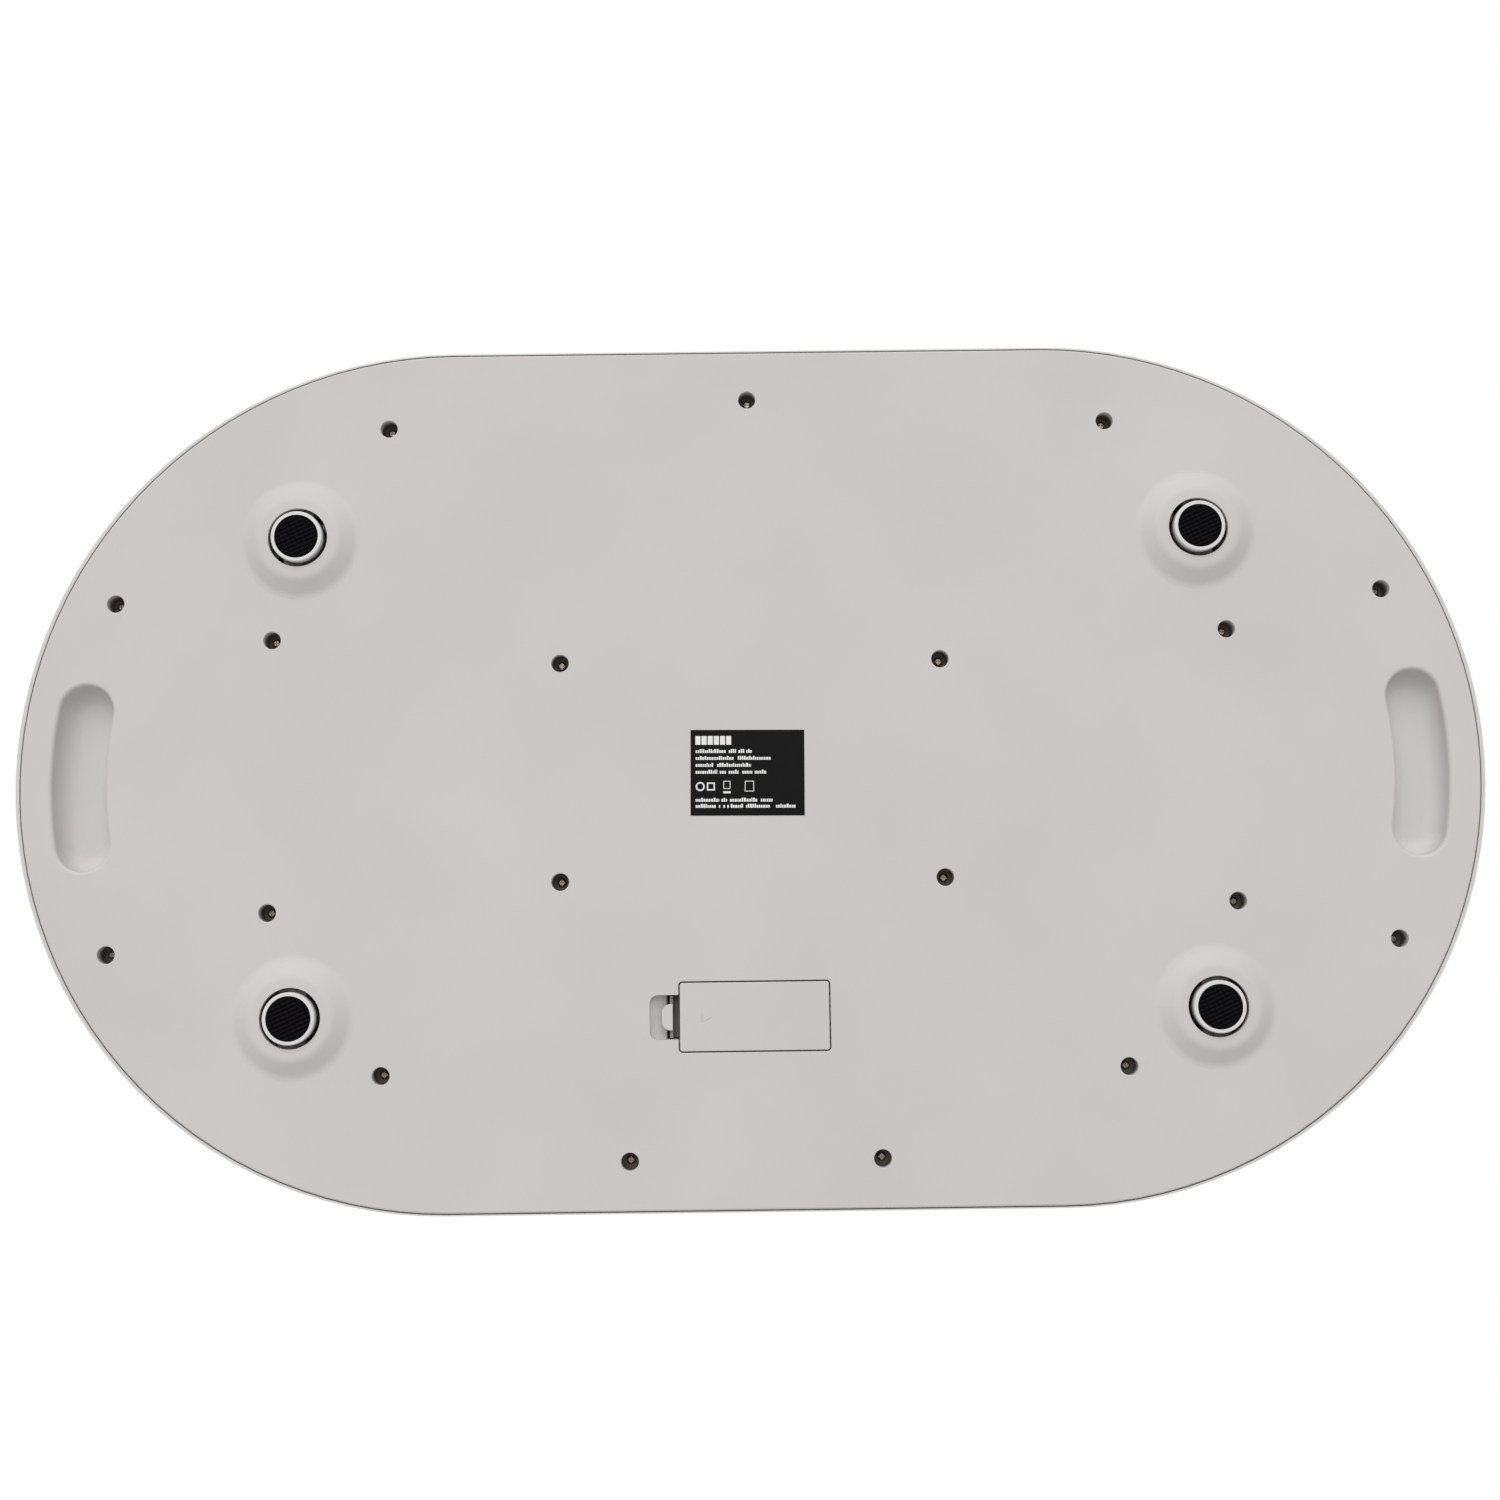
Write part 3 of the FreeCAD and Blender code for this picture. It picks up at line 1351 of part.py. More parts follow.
def make_keys():
    switches = []
    flange_top = pod_under - size.key_rest_gap
    case_top = size.board_top + size.switch_height
    socket_low = case_top - size.plunger_grip - size.key_travel - 0.3
    for name, x in KEYS.items():
        cap = new_body(f"key_{name}")
        top = Drawing(cap, f"key_top_{name}", offset=flange_top)
        top.belt(key_ends(x), size.key_radius)
        pad(cap, top, size.key_top - flange_top)
        round_edges(cap, size.key_edge_round, lambda edge: flat_at(edge, SIZES["key_top"]))
        flange = Drawing(cap, f"key_flange_{name}", offset=flange_top - size.flange_thick)
        flange.belt(key_ends(x), size.key_radius + size.flange_grow)
        pad(cap, flange, size.flange_thick)
        stem = Drawing(cap, f"key_stem_{name}", offset=size.plunger_top)
        stem.circle(x, size.key_y, size.key_stem_radius)
        pad(cap, stem, flange_top - size.flange_thick - size.plunger_top)
        keep(cap, f"key_{name}")

        low, high = case_top - size.plunger_grip, size.plunger_top
        plunger = cylinder(f"plunger_{name}", size.plunger_radius, x, size.key_y, low, high)
        keep(plunger, f"plunger_{name}")
        half = size.switch_side / 2
        case = box(
            f"switch_case_{name}",
            (x - half, size.key_y - half, size.board_top),
            (x + half, size.key_y + half, case_top),
        )
        radius = size.plunger_radius + size.plunger_play
        socket_high = case_top + size.cut_lead
        socket = cylinder(f"switch_socket_{name}", radius, x, size.key_y, socket_low, socket_high)
        switches.append(cut(f"switch_{name}", case, socket))
    keep(group("key_switches", switches), "key_switches")


# ---------------------------------------------------------------- leads


def lead(label, route, radius):
    """A round lead along straight runs joined by tangent arcs, as large as their runs allow."""
    spots = [Vector(*spot) for spot in route]
    start = spots[0]
    edges = []
    for before, corner, after in zip(spots, spots[1:], spots[2:]):
        first, second = (corner - before), (after - corner)
        turn = first.getAngle(second)
        setback = 0.45 * min(first.Length, second.Length)
        bend = setback / math.tan(turn / 2)
        print(f"{label}: turn {math.degrees(turn):.0f} degrees, radius {bend:.1f} mm")
        first.normalize()
        second.normalize()
        into, away = corner - first * setback, corner + second * setback
        middle = (into + away) / 2
        outward = corner - middle
        outward.normalize()
        sagitta = bend * (1 - math.cos(turn / 2))
        edges.append(Part.LineSegment(start, into).toShape())
        edges.append(Part.Arc(into, middle + outward * sagitta, away).toShape())
        start = away
    edges.append(Part.LineSegment(start, spots[-1]).toShape())
    path = Part.Wire(edges)
    facing = spots[1] - spots[0]
    section = Part.Wire([Part.Circle(spots[0], facing, radius).toShape()])
    thing = doc.addObject("Part::Feature", label)
    tube = path.makePipeShell([section], True, True)
    expected = math.pi * radius**2 * path.Length
    if abs(tube.Volume - expected) > 0.01 * expected:
        raise RuntimeError(f"{label} has the wrong volume")
    thing.Shape = tube
    thing.Placement = FreeCAD.Placement()
    return keep(thing, label)


def make_leads():
    radius = SIZES["cell_lead_radius"]
    board_under = SIZES["board_top"] - SIZES["board_thick"]
    for name, (sx, sy) in CORNERS.items():
        x = SIZES["foot_x"] - SIZES["seat_side"] / 2
        y = SIZES["foot_y"] - 12.0
        low = SIZES["cell_bottom"] - 1.5
        if sy > 0:
            route = [
                (x, y, low),
                (x - 24, y - 8, low + 1),
                (x - 40, y - 34, low + 2),
                (x - 46, 0, low + 1),
                (x - 54, -36, low + 2),
                (x - 70, -76, low + 7),
                (62, -110, low + 10),
                (38, -123, low + 14),
                (30, -122, low + 18),
                (30, -122, board_under),
            ]
        else:
            route = [
                (x, -y, low),
                (x - 34, -y - 10, low + 1),
                (x - 66, -y - 18, low + 2),
                (52, -110, low + 4),
                (26, -114, low + 10),
                (16, -113, low + 15),
                (16, -113, board_under),
            ]
        lead(f"cell_lead_{name}", [(sx * px, py, pz) for px, py, pz in route], radius)
    lug_x = SIZES["door_half_length"] + 5.55
    z = SIZES["aaa_z"] + 2.2
    pitch = SIZES["aaa_pitch"] / 2
    ends = (
        ("negative", SIZES["bay_y"] + pitch, -14.0, -36.0),
        ("positive", SIZES["bay_y"] - pitch, -8.0, -27.0),
    )
    for name, start_y, reach, end_x in ends:
        route = [
            (-lug_x, start_y, z),
            (-lug_x + reach / 2, start_y, z),
            (-lug_x + reach, start_y - 8, z + 1),
            (-lug_x + reach, -106, z + 6),
            (end_x, -110, z + 12),
            (end_x, -110, board_under),
        ]
        lead(f"battery_lead_{name}", route, SIZES["battery_lead_radius"])


# ---------------------------------------------------------------- make everything


def write_parts():
    doc.recompute()
    for thing in doc.Objects:
        if "Invalid" in thing.State or "Error" in thing.State:
            raise RuntimeError(f"{thing.Name} failed: {thing.State}")
    for thing in parts:
        shape = thing.Shape
        if shape.isNull() or not shape.isValid() or not shape.Solids:
            raise RuntimeError(f"{thing.Label} has no valid solid")
    os.makedirs("parts", exist_ok=True)
    for thing in parts:
        thing.Shape.exportStep(f"parts/{thing.Label}.step")
        print(f"{thing.Label}: {len(thing.Shape.Solids)} solid(s), {thing.Shape.Volume:.0f} mm3")


make_cover()
make_tray()
make_case_screws()
for corner, (foot_x, foot_y) in FEET.items():
    make_foot(corner, foot_x, foot_y)
    make_load_cell(corner, foot_x, foot_y, CORNERS[corner][1])
make_gauges()
make_door()
make_latch()
make_cells()
make_contacts()
make_label()
make_display()
make_board()
make_keys()
make_leads()
write_parts()
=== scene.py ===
"""A digital baby scale seen from below: materials, printed and moulded details, stage, lights and camera."""

import json
import math
import random

import bmesh
import bpy
from mathutils import Matrix, Vector


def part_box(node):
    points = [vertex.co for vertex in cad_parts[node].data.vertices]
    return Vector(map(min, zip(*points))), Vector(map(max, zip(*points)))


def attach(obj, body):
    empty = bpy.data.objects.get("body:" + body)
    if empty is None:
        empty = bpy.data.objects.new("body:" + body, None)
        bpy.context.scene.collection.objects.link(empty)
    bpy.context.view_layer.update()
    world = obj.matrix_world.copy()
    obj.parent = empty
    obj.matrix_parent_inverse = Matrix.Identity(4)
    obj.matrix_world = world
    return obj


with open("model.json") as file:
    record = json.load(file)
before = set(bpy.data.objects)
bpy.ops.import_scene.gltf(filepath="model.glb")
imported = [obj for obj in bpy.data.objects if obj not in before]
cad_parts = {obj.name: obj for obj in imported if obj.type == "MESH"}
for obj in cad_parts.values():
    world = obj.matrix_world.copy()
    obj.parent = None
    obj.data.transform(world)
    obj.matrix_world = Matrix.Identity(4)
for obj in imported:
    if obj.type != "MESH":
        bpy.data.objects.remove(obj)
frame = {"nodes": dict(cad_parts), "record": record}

scene = bpy.context.scene
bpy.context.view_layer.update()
nodes = frame["nodes"]
MM = 0.001


def span(node):
    """A node's lowest and highest corner in millimetres."""
    low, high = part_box(node)
    return Vector(low) / MM, Vector(high) / MM


def middle_of(node):
    """The middle of a node's box in millimetres."""
    low, high = span(node)
    return (low + high) / 2


# ---------------------------------------------------------------- material helpers


class Look:
    """A material under construction: one Principled shader and the nodes that feed it."""

    def __init__(self, name, colour, rough, metallic=0.0):
        self.material = bpy.data.materials.new(name)
        self.material.use_nodes = True
        self.tree = self.material.node_tree
        self.shader = self.tree.nodes["Principled BSDF"]
        self.shader.inputs["Base Color"].default_value = (*colour, 1.0)
        self.shader.inputs["Roughness"].default_value = rough
        self.shader.inputs["Metallic"].default_value = metallic
        self.material.diffuse_color = (*colour, 1.0)
        self.where = self.tree.nodes.new("ShaderNodeTexCoord").outputs["Object"]
        self.height = None

    def node(self, kind, **settings):
        made = self.tree.nodes.new(kind)
        for key, value in settings.items():
            setattr(made, key, value)
        return made

    def link(self, source, target):
        self.tree.links.new(source, target)

    def math(self, operation, a, b=None):
        """An operation on numbers, each of them an output of a node or a plain value."""
        made = self.node("ShaderNodeMath", operation=operation)
        for socket, value in zip(made.inputs, (a, b)):
            if value is None:
                continue
            if hasattr(value, "is_linked"):
                self.link(value, socket)
            else:
                socket.default_value = value
        return made.outputs[0]

    def vector_math(self, operation, vector, other=None):
        """An operation on a node's vector and, where it needs one, a plain vector."""
        made = self.node("ShaderNodeVectorMath", operation=operation)
        self.link(vector, made.inputs[0])
        if other is not None:
            made.inputs[1].default_value = other
        return made.outputs["Value" if operation == "LENGTH" else "Vector"]

    def axis(self, name):
        split = self.node("ShaderNodeSeparateXYZ")
        self.link(self.where, split.inputs[0])
        return split.outputs[name]

    def noise(self, cell_mm, detail=3.0, stretch=(1.0, 1.0, 1.0)):
        """Noise whose features are about cell_mm across; stretch squeezes it along an axis."""
        mapping = self.node("ShaderNodeMapping")
        mapping.inputs["Scale"].default_value = stretch
        self.link(self.where, mapping.inputs["Vector"])
        made = self.node("ShaderNodeTexNoise")
        made.inputs["Scale"].default_value = 1.0 / (cell_mm * MM)
        made.inputs["Detail"].default_value = detail
        self.link(mapping.outputs[0], made.inputs["Vector"])
        return made.outputs["Fac"]

    def ramp(self, factor, stops, constant=False):
        made = self.node("ShaderNodeValToRGB")
        ramp = made.color_ramp
        if constant:
            ramp.interpolation = "CONSTANT"
        while len(ramp.elements) < len(stops):
            ramp.elements.new(0.5)
        for element, (place, colour) in zip(ramp.elements, stops):
            element.position = place
            element.color = (*colour, 1.0)
        self.link(factor, made.inputs["Fac"])
        return made.outputs["Color"]

    def span_of(self, factor, low, high, out_low, out_high):
        """Turns the stretch from low to high into the one from out_low to out_high."""
        made = self.node("ShaderNodeMapRange")
        ends = {"From Min": low, "From Max": high, "To Min": out_low, "To Max": out_high}
        for name, value in ends.items():
            made.inputs[name].default_value = value
        self.link(factor, made.inputs["Value"])
        return made.outputs[0]

    def near_line(self, x_mm, y_mm, radius_mm, soft_mm=1.0, mirrored=False, joined=False):
        """1 within a radius of the upright line at x, y and 0 beyond.

        Mirrored adds its mirror images, and joined takes in all that lies between them along X.
        """
        place = self.vector_math("ABSOLUTE", self.where) if mirrored else self.where
        past = self.vector_math("SUBTRACT", place, (x_mm * MM, y_mm * MM, 0.0))
        if joined:
            past = self.vector_math("MAXIMUM", past, (0.0, -1.0, -1.0))
        level = self.vector_math("MULTIPLY", past, (1.0, 1.0, 0.0))
        distance = self.vector_math("LENGTH", level)
        return self.span_of(distance, radius_mm * MM, (radius_mm + soft_mm) * MM, 1.0, 0.0)

    def colour(self, source):
        self.link(source, self.shader.inputs["Base Color"])

    def mottle(self, cell_mm, dark, light, detail=4.0, low=0.3):
        """A colour that drifts between two shades, in patches about cell_mm across."""
        self.colour(self.ramp(self.noise(cell_mm, detail=detail), [(low, dark), (0.7, light)]))

    def mix_in(self, share, deep):
        """Mixes a share of the deep colour, a painted shade, into the colour that is already linked."""
        socket = self.shader.inputs["Base Color"]
        mix = self.node("ShaderNodeMixRGB")
        self.link(share, mix.inputs["Fac"])
        self.link(socket.links[0].from_socket, mix.inputs["Color1"])
        mix.inputs["Color2"].default_value = (*deep, 1.0)
        self.link(mix.outputs[0], socket)

    def shade_deep(self, low_mm, high_mm, deep, where=None):
        """Turns the colour that is already linked into the deep one, a painted shade, from one height up to
        another.

        Higher is deeper inside the case, because the underside is at the bottom.
        """
        share = self.span_of(self.axis("Z"), low_mm * MM, high_mm * MM, 0.0, 1.0)
        if where is not None:
            share = self.math("MULTIPLY", share, where)
        self.mix_in(share, deep)

    def rough(self, source, low, high):
        """Roughness between low and high, as the source goes through its middle range."""
        self.link(self.span_of(source, 0.3, 0.7, low, high), self.shader.inputs["Roughness"])

    def specular(self, level):
        self.shader.inputs["Specular IOR Level"].default_value = level

    def bump(self, source, depth_mm, strength=1.0):
        made = self.node("ShaderNodeBump")
        made.inputs["Strength"].default_value = strength
        made.inputs["Distance"].default_value = depth_mm * MM
        self.link(source, made.inputs["Height"])
        if self.height is not None:
            self.link(self.height, made.inputs["Normal"])
        self.height = made.outputs["Normal"]
        self.link(self.height, self.shader.inputs["Normal"])


def shade(colour, amount):
    """A colour made darker or paler."""
    return tuple(min(1.0, c * amount) for c in colour)


def moulded(name, colour, rough, grain_mm, grain_depth, cloud=0.03):
    """Moulded plastic: a fine spark-eroded grain, faint flow clouds and uneven gloss."""
    look = Look(name, colour, rough)
    look.mottle(70.0, shade(colour, 1.0 - cloud), shade(colour, 1.0 + cloud))
    look.rough(look.noise(9.0, detail=5.0), rough - 0.05, rough + 0.05)
    look.bump(look.noise(grain_mm, detail=2.0), grain_depth)
    look.bump(look.noise(grain_mm * 6.0, detail=2.0), grain_depth * 0.8)
    look.specular(0.35)
    return look


def metal(name, colour, rough, grain=(1.0, 1.0, 1.0), tarnish=0.12):
    """Plated metal with fine drawn lines and a cloudy tarnish."""
    look = Look(name, colour, rough, metallic=1.0)
    look.mottle(1.6, shade(colour, 1.0 - tarnish), shade(colour, 1.0 + tarnish), low=0.35)
    lines = look.noise(0.25, detail=3.0, stretch=grain)
    look.rough(lines, rough - 0.08, rough + 0.1)
    look.bump(lines, 0.01)
    return look


# ---------------------------------------------------------------- materials

WARM_WHITE = (0.640, 0.620, 0.606)
CUP_WHITE = (0.760, 0.750, 0.740)
# painted shade: a cooler tint for the deep floors of the grips
GRIP_SHADE_TINT = (0.636, 0.624, 0.617)
# painted shade: the dark colour down the screw wells
WELL_SHADE = (0.175, 0.152, 0.128)
COVER_FINISH = {"rough": 0.60, "grain_mm": 0.22, "grain_depth": 0.012}
CUP_FINISH = {"rough": 0.36, "grain_mm": 0.5, "grain_depth": 0.004, "cloud": 0.015}
GRIP_X = 249.0
# the painted shade in the door's seam reaches up to here along X, where the latch's slot begins
SEAM_SHADE_END_X = 28.4

foot_middle = middle_of("foot_pad_rear_right")
bay_y = middle_of("battery_door").y


def cover_look():
    """The cover's plastic, with shade painted into its colour inside the case, where little light goes."""
    look = moulded("cover_white", WARM_WHITE, **COVER_FINISH)
    by_feet = look.near_line(foot_middle.x, foot_middle.y, 15.0, mirrored=True)
    by_bay = look.near_line(0.0, bay_y, 46.0)
    by_grips = look.near_line(GRIP_X, 0.0, 40.0, mirrored=True)
    # the screw wells are everywhere else than the bay and the grips
    by_wells = look.math("SUBTRACT", 1.0, look.math("MAXIMUM", by_bay, by_grips))
    short_of_slot = look.span_of(look.axis("X"), SEAM_SHADE_END_X * MM, (SEAM_SHADE_END_X + 0.5) * MM, 1.0, 0.0)
    by_seam = look.math("MULTIPLY", by_bay, short_of_slot)
    # painted shade inside the bosses round the feet, in the bay, in the grips, down the screw wells and in
    # the door's seam
    look.shade_deep(3.4, 5.0, shade(WARM_WHITE, 0.28), by_feet)
    look.shade_deep(11.6, 14.0, shade(WARM_WHITE, 0.40), by_bay)
    look.shade_deep(8.5, 13.0, GRIP_SHADE_TINT, by_grips)
    look.shade_deep(7.6, 11.0, WELL_SHADE, by_wells)
    look.shade_deep(7.0, 8.2, shade(WARM_WHITE, 0.30), by_seam)
    return look


def door_look():
    """The same plastic on the battery door and its latch, painted darker with shade where the latch goes
    into the case.
    """
    look = moulded("door_white", WARM_WHITE, **COVER_FINISH)
    look.shade_deep(7.4, 12.0, shade(WARM_WHITE, 0.40))
    return look


def cup_look():
    """The foot cups and the seats behind them, painted darker with shade past the mouths of their holes."""
    look = moulded("cup_white", CUP_WHITE, **CUP_FINISH)
    look.shade_deep(2.2, 4.5, shade(CUP_WHITE, 0.28))
    return look


def rubber_look():
    """Black rubber with a woven texture that is turned a little."""
    look = Look("pad_rubber", (0.004, 0.004, 0.005), 0.7)
    turned = look.node("ShaderNodeMapping")
    turned.inputs["Rotation"].default_value = (0.0, 0.0, math.radians(24.0))
    look.link(look.where, turned.inputs["Vector"])
    threads = look.node("ShaderNodeSeparateXYZ")
    look.link(turned.outputs[0], threads.inputs[0])
    thread_pitch_mm = 1.5
    turns = 2.0 * math.pi / (thread_pitch_mm * MM)
    warp = look.math("SINE", look.math("MULTIPLY", threads.outputs["Y"], turns))
    weft = look.math("SINE", look.math("MULTIPLY", threads.outputs["X"], turns * 0.8))
    weft_share = 0.35
    weave = look.math("ADD", warp, look.math("MULTIPLY", weft, weft_share))
    look.bump(weave, 0.10, 0.8)
    look.bump(look.noise(0.12, detail=3.0), 0.02)
    # the colour is paler on the threads' tops and darker in the hollows between them
    thread_height = look.span_of(weave, -1.0 - weft_share, 1.0 + weft_share, 0.0, 1.0)
    look.colour(look.ramp(thread_height, [(0.25, (0.0015, 0.0012, 0.0018)), (1.0, (0.0095, 0.0085, 0.0100))]))
    look.rough(look.noise(2.5), 0.62, 0.82)
    look.specular(0.04)
    return look


def label_look():
    look = Look("label_black", (0.0075, 0.0074, 0.0070), 0.45)
    look.mottle(6.0, (0.0066, 0.0065, 0.0061), (0.0084, 0.0083, 0.0078))
    look.rough(look.noise(3.0), 0.40, 0.52)
    look.bump(look.noise(0.4, detail=3.0), 0.004)
    look.specular(0.08)
    return look


def board_look():
    """Green solder mask over a grid of copper tracks."""
    look = Look("board_green", (0.02, 0.16, 0.07), 0.32)
    tracks = look.node("ShaderNodeTexBrick")
    track_pitch_mm = 9.0
    tracks.inputs["Scale"].default_value = 1.0 / (track_pitch_mm * MM)
    tracks.inputs["Mortar Size"].default_value = 0.035
    tracks.inputs["Color1"].default_value = (0.012, 0.130, 0.055, 1.0)
    tracks.inputs["Color2"].default_value = (0.018, 0.150, 0.062, 1.0)
    tracks.inputs["Mortar"].default_value = (0.040, 0.250, 0.100, 1.0)
    look.link(look.where, tracks.inputs["Vector"])
    look.colour(tracks.outputs["Color"])
    look.bump(tracks.outputs["Fac"], 0.03)
    look.bump(look.noise(0.5), 0.004)
    return look


def glass_look():
    look = Look("lcd_glass", (0.36, 0.41, 0.34), 0.12)
    look.mottle(14.0, (0.345, 0.395, 0.325), (0.375, 0.425, 0.355), detail=2.0)
    look.bump(look.noise(0.15), 0.002)
    return look


def window_look():
    look = Look("window_clear", (0.93, 0.95, 0.95), 0.04)
    look.shader.inputs["Transmission Weight"].default_value = 1.0
    look.shader.inputs["IOR"].default_value = 1.49
    look.rough(look.noise(12.0), 0.02, 0.06)
    return look


def cell_look(name, way):
    """An AAA cell's printed sleeve; way is +1 where its button faces +X."""
    look = Look(name, (0.10, 0.11, 0.13), 0.32)
    cell_length_mm = 48.0
    along = look.math("MULTIPLY", look.axis("X"), way / (cell_length_mm * MM))
    along = look.math("ADD", along, 0.5)
    sleeve_start, band_start, sleeve_end = 0.085, 0.66, 0.945
    tin, bare, covered = (0.62, 0.61, 0.58), (1.0, 1.0, 1.0), (0.15, 0.15, 0.15)
    colours = [(0.0, tin), (sleeve_start, (0.030, 0.033, 0.040)), (band_start, (0.55, 0.30, 0.10))]
    look.colour(look.ramp(along, colours + [(sleeve_end, tin)], constant=True))
    metal_share = look.ramp(along, [(0.0, bare), (sleeve_start, covered), (sleeve_end, bare)], constant=True)
    look.link(metal_share, look.shader.inputs["Metallic"])
    look.rough(look.noise(3.0), 0.24, 0.38)
    look.bump(look.noise(0.8), 0.006)
    return look


slot_looks = {
    "cover_white": cover_look(),
    "tray_white": moulded("tray_white", (0.680, 0.664, 0.650), 0.42, 0.35, 0.006),
    "foot_white": moulded("foot_white", CUP_WHITE, **CUP_FINISH),
    "pad_rubber": rubber_look(),
    "cell_steel": metal("cell_steel", (0.26, 0.25, 0.235), 0.34, (1.0, 14.0, 1.0)),
    "screw_nickel": metal("screw_nickel", (0.40, 0.335, 0.27), 0.32, tarnish=0.25),
    "label_black": label_look(),
    "epoxy_white": moulded("epoxy_white", (0.80, 0.80, 0.78), 0.16, 1.2, 0.05),
    "contact_nickel": metal("contact_nickel", (0.64, 0.63, 0.60), 0.22, (10.0, 1.0, 1.0)),
    "board_green": board_look(),
    "chip_black": moulded("chip_black", (0.010, 0.010, 0.010), 0.34, 1.5, 0.08),
    "lcd_glass": glass_look(),
    "window_clear": window_look(),
    "key_grey": moulded("key_grey", (0.250, 0.268, 0.290), 0.55, 0.3, 0.01),
    "switch_black": moulded("switch_black", (0.020, 0.020, 0.020), 0.45, 0.4, 0.008),
    "lead_sleeve": moulded("lead_sleeve", (0.50, 0.50, 0.49), 0.48, 0.6, 0.01),
}
door_plastic, cup_plastic = door_look(), cup_look()
# nodes whose look is not their slot's
own_looks = {
    "battery_door": door_plastic,
    "door_latch": door_plastic,
    "battery_cell_rear": cell_look("jacket_rear", 1.0),
    "battery_cell_front": cell_look("jacket_front", -1.0),
    "battery_lead_positive": moulded("sleeve_positive", (0.42, 0.02, 0.015), 0.45, 0.6, 0.01),
    "battery_lead_negative": moulded("sleeve_negative", (0.012, 0.012, 0.012), 0.45, 0.6, 0.01),
}
own_looks.update({node: cup_plastic for node in nodes if node.startswith(("foot_cup", "load_cell_seat"))})


def dress(thing, look):
    thing.data.materials.clear()
    thing.data.materials.append(look.material)


for part in frame["record"]["subparts"]:
    node = part["node"]
    dress(nodes[node], own_looks.get(node) or slot_looks[part["material_slot"]])


# ---------------------------------------------------------------- mesh helpers

CORNER_STEPS = 5


def new_object(name, mesh_builder, look, body):
    """A piece made by mesh_builder(bmesh) in millimetres, riding on a body."""
    work = bmesh.new()
    mesh_builder(work)
    bmesh.ops.recalc_face_normals(work, faces=work.faces)
    bmesh.ops.scale(work, vec=(MM, MM, MM), verts=work.verts)
    mesh = bpy.data.meshes.new(name)
    work.to_mesh(mesh)
    work.free()
    thing = bpy.data.objects.new(name, mesh)
    scene.collection.objects.link(thing)
    mesh.materials.append(look.material)
    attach(thing, body)
    return thing


def prism(work, outline, low, high):
    """A flat plate with this outline between two heights; the outline is a list of (x, y)."""
    lower = [work.verts.new((x, y, low)) for x, y in outline]
    upper = [work.verts.new((x, y, high)) for x, y in outline]
    work.faces.new(lower)
    work.faces.new(upper)
    for i in range(len(outline)):
        work.faces.new((lower[i - 1], lower[i], upper[i], upper[i - 1]))


def band(work, inner, outer, low, high, closed=True):
    """A flat band between two outlines with as many points each; an open one gets two end faces."""
    loops = []
    for outline, z in ((inner, low), (outer, low), (outer, high), (inner, high)):
        loops.append([work.verts.new((x, y, z)) for x, y in outline])
    for a, b in zip(loops, loops[1:] + loops[:1]):
        for i in range(0 if closed else 1, len(a)):
            work.faces.new((a[i - 1], a[i], b[i], b[i - 1]))
    if not closed:
        for end in (0, -1):
            work.faces.new([loop[end] for loop in loops])


def ring(work, x, y, inner, outer, low, high, start=0.0, sweep=360.0, steps=48):
    """A flat ring round x, y or, with a shorter sweep, part of one."""
    whole = sweep >= 360.0
    angles = [math.radians(start + sweep * i / steps) for i in range(steps if whole else steps + 1)]
    circles = [[(x + r * math.cos(a), y + r * math.sin(a)) for a in angles] for r in (inner, outer)]
    band(work, *circles, low, high, closed=whole)


def rounded_box(x, y, half_x, half_y, radius):
    """The outline of a rectangle with rounded corners and its middle at x, y."""
    outline = []
    for quarter, (a, b) in enumerate(((1, 1), (-1, 1), (-1, -1), (1, -1))):
        corner_x, corner_y = x + a * (half_x - radius), y + b * (half_y - radius)
        for i in range(CORNER_STEPS + 1):
            angle = math.radians(90.0 * (quarter + i / CORNER_STEPS))
            outline.append((corner_x + radius * math.cos(angle), corner_y + radius * math.sin(angle)))
    return outline


# ---------------------------------------------------------------- rating label print

# a print's two faces, measured upwards from the surface that carries it
PRINT_LOW, PRINT_HIGH = -0.02, 0.03
LABEL_LENGTH, LABEL_WIDTH, LABEL_TURN = 42.6, 32.2, math.radians(0.55)
# the large word at the top is a row of equal blocks, all with their foot at one height
TOP_STARTS = [1.8, 4.1, 6.4, 8.7, 11.0, 13.3]
TOP_WIDE, TOP_TALL, TOP_FOOT = 1.9, 3.3, 5.6
# the printed lines: how far down the line's foot is, then the start and length of each word
LABEL_LINES = [
    (8.7, [(1.9, 11.5), (14.3, 2.8), (17.9, 2.2), (20.9, 2.3)]),
    (11.3, [(1.9, 14.6), (17.7, 12.7)]),
    (13.9, [(1.9, 7.0), (9.9, 12.7)]),
    (16.5, [(1.9, 8.1), (10.9, 2.3), (14.2, 4.1), (19.3, 3.8), (24.0, 4.5)]),
    (27.0, [(1.9, 8.8), (11.5, 2.4), (14.7, 10.4), (26.2, 4.7)]),
    (29.3, [(1.9, 7.6), (10.6, 0.8), (12.2, 0.8), (13.7, 0.6), (15.0, 4.9), (20.7, 9.3), (31.9, 7.6)]),
]
# the blocks of a word; a rest that is shorter than the last of these gets none
LETTER_NARROW, LETTER_WIDE, LETTER_GAP, LETTER_LEAST = 0.40, 0.80, 0.20, 0.25
LETTER_HEIGHTS = (1.05, 1.05, 1.45)
# the marks: middle, half width, half height and line of each frame; middle and radii of the ring
FRAME_MARKS = [(7.6, 21.3, 1.5, 1.5, 0.5), (13.6, 20.7, 1.3, 1.5, 0.25), (22.0, 21.2, 1.7, 2.0, 0.25)]
RING_MIDDLE, RING_INNER, RING_OUTER = (3.6, 21.3), 1.15, 1.7
BAR_UNDER_FRAME = (12.2, 23.1, 2.8, 0.75)

label_face = span("rating_label")[0].z
label_middle = middle_of("rating_label")


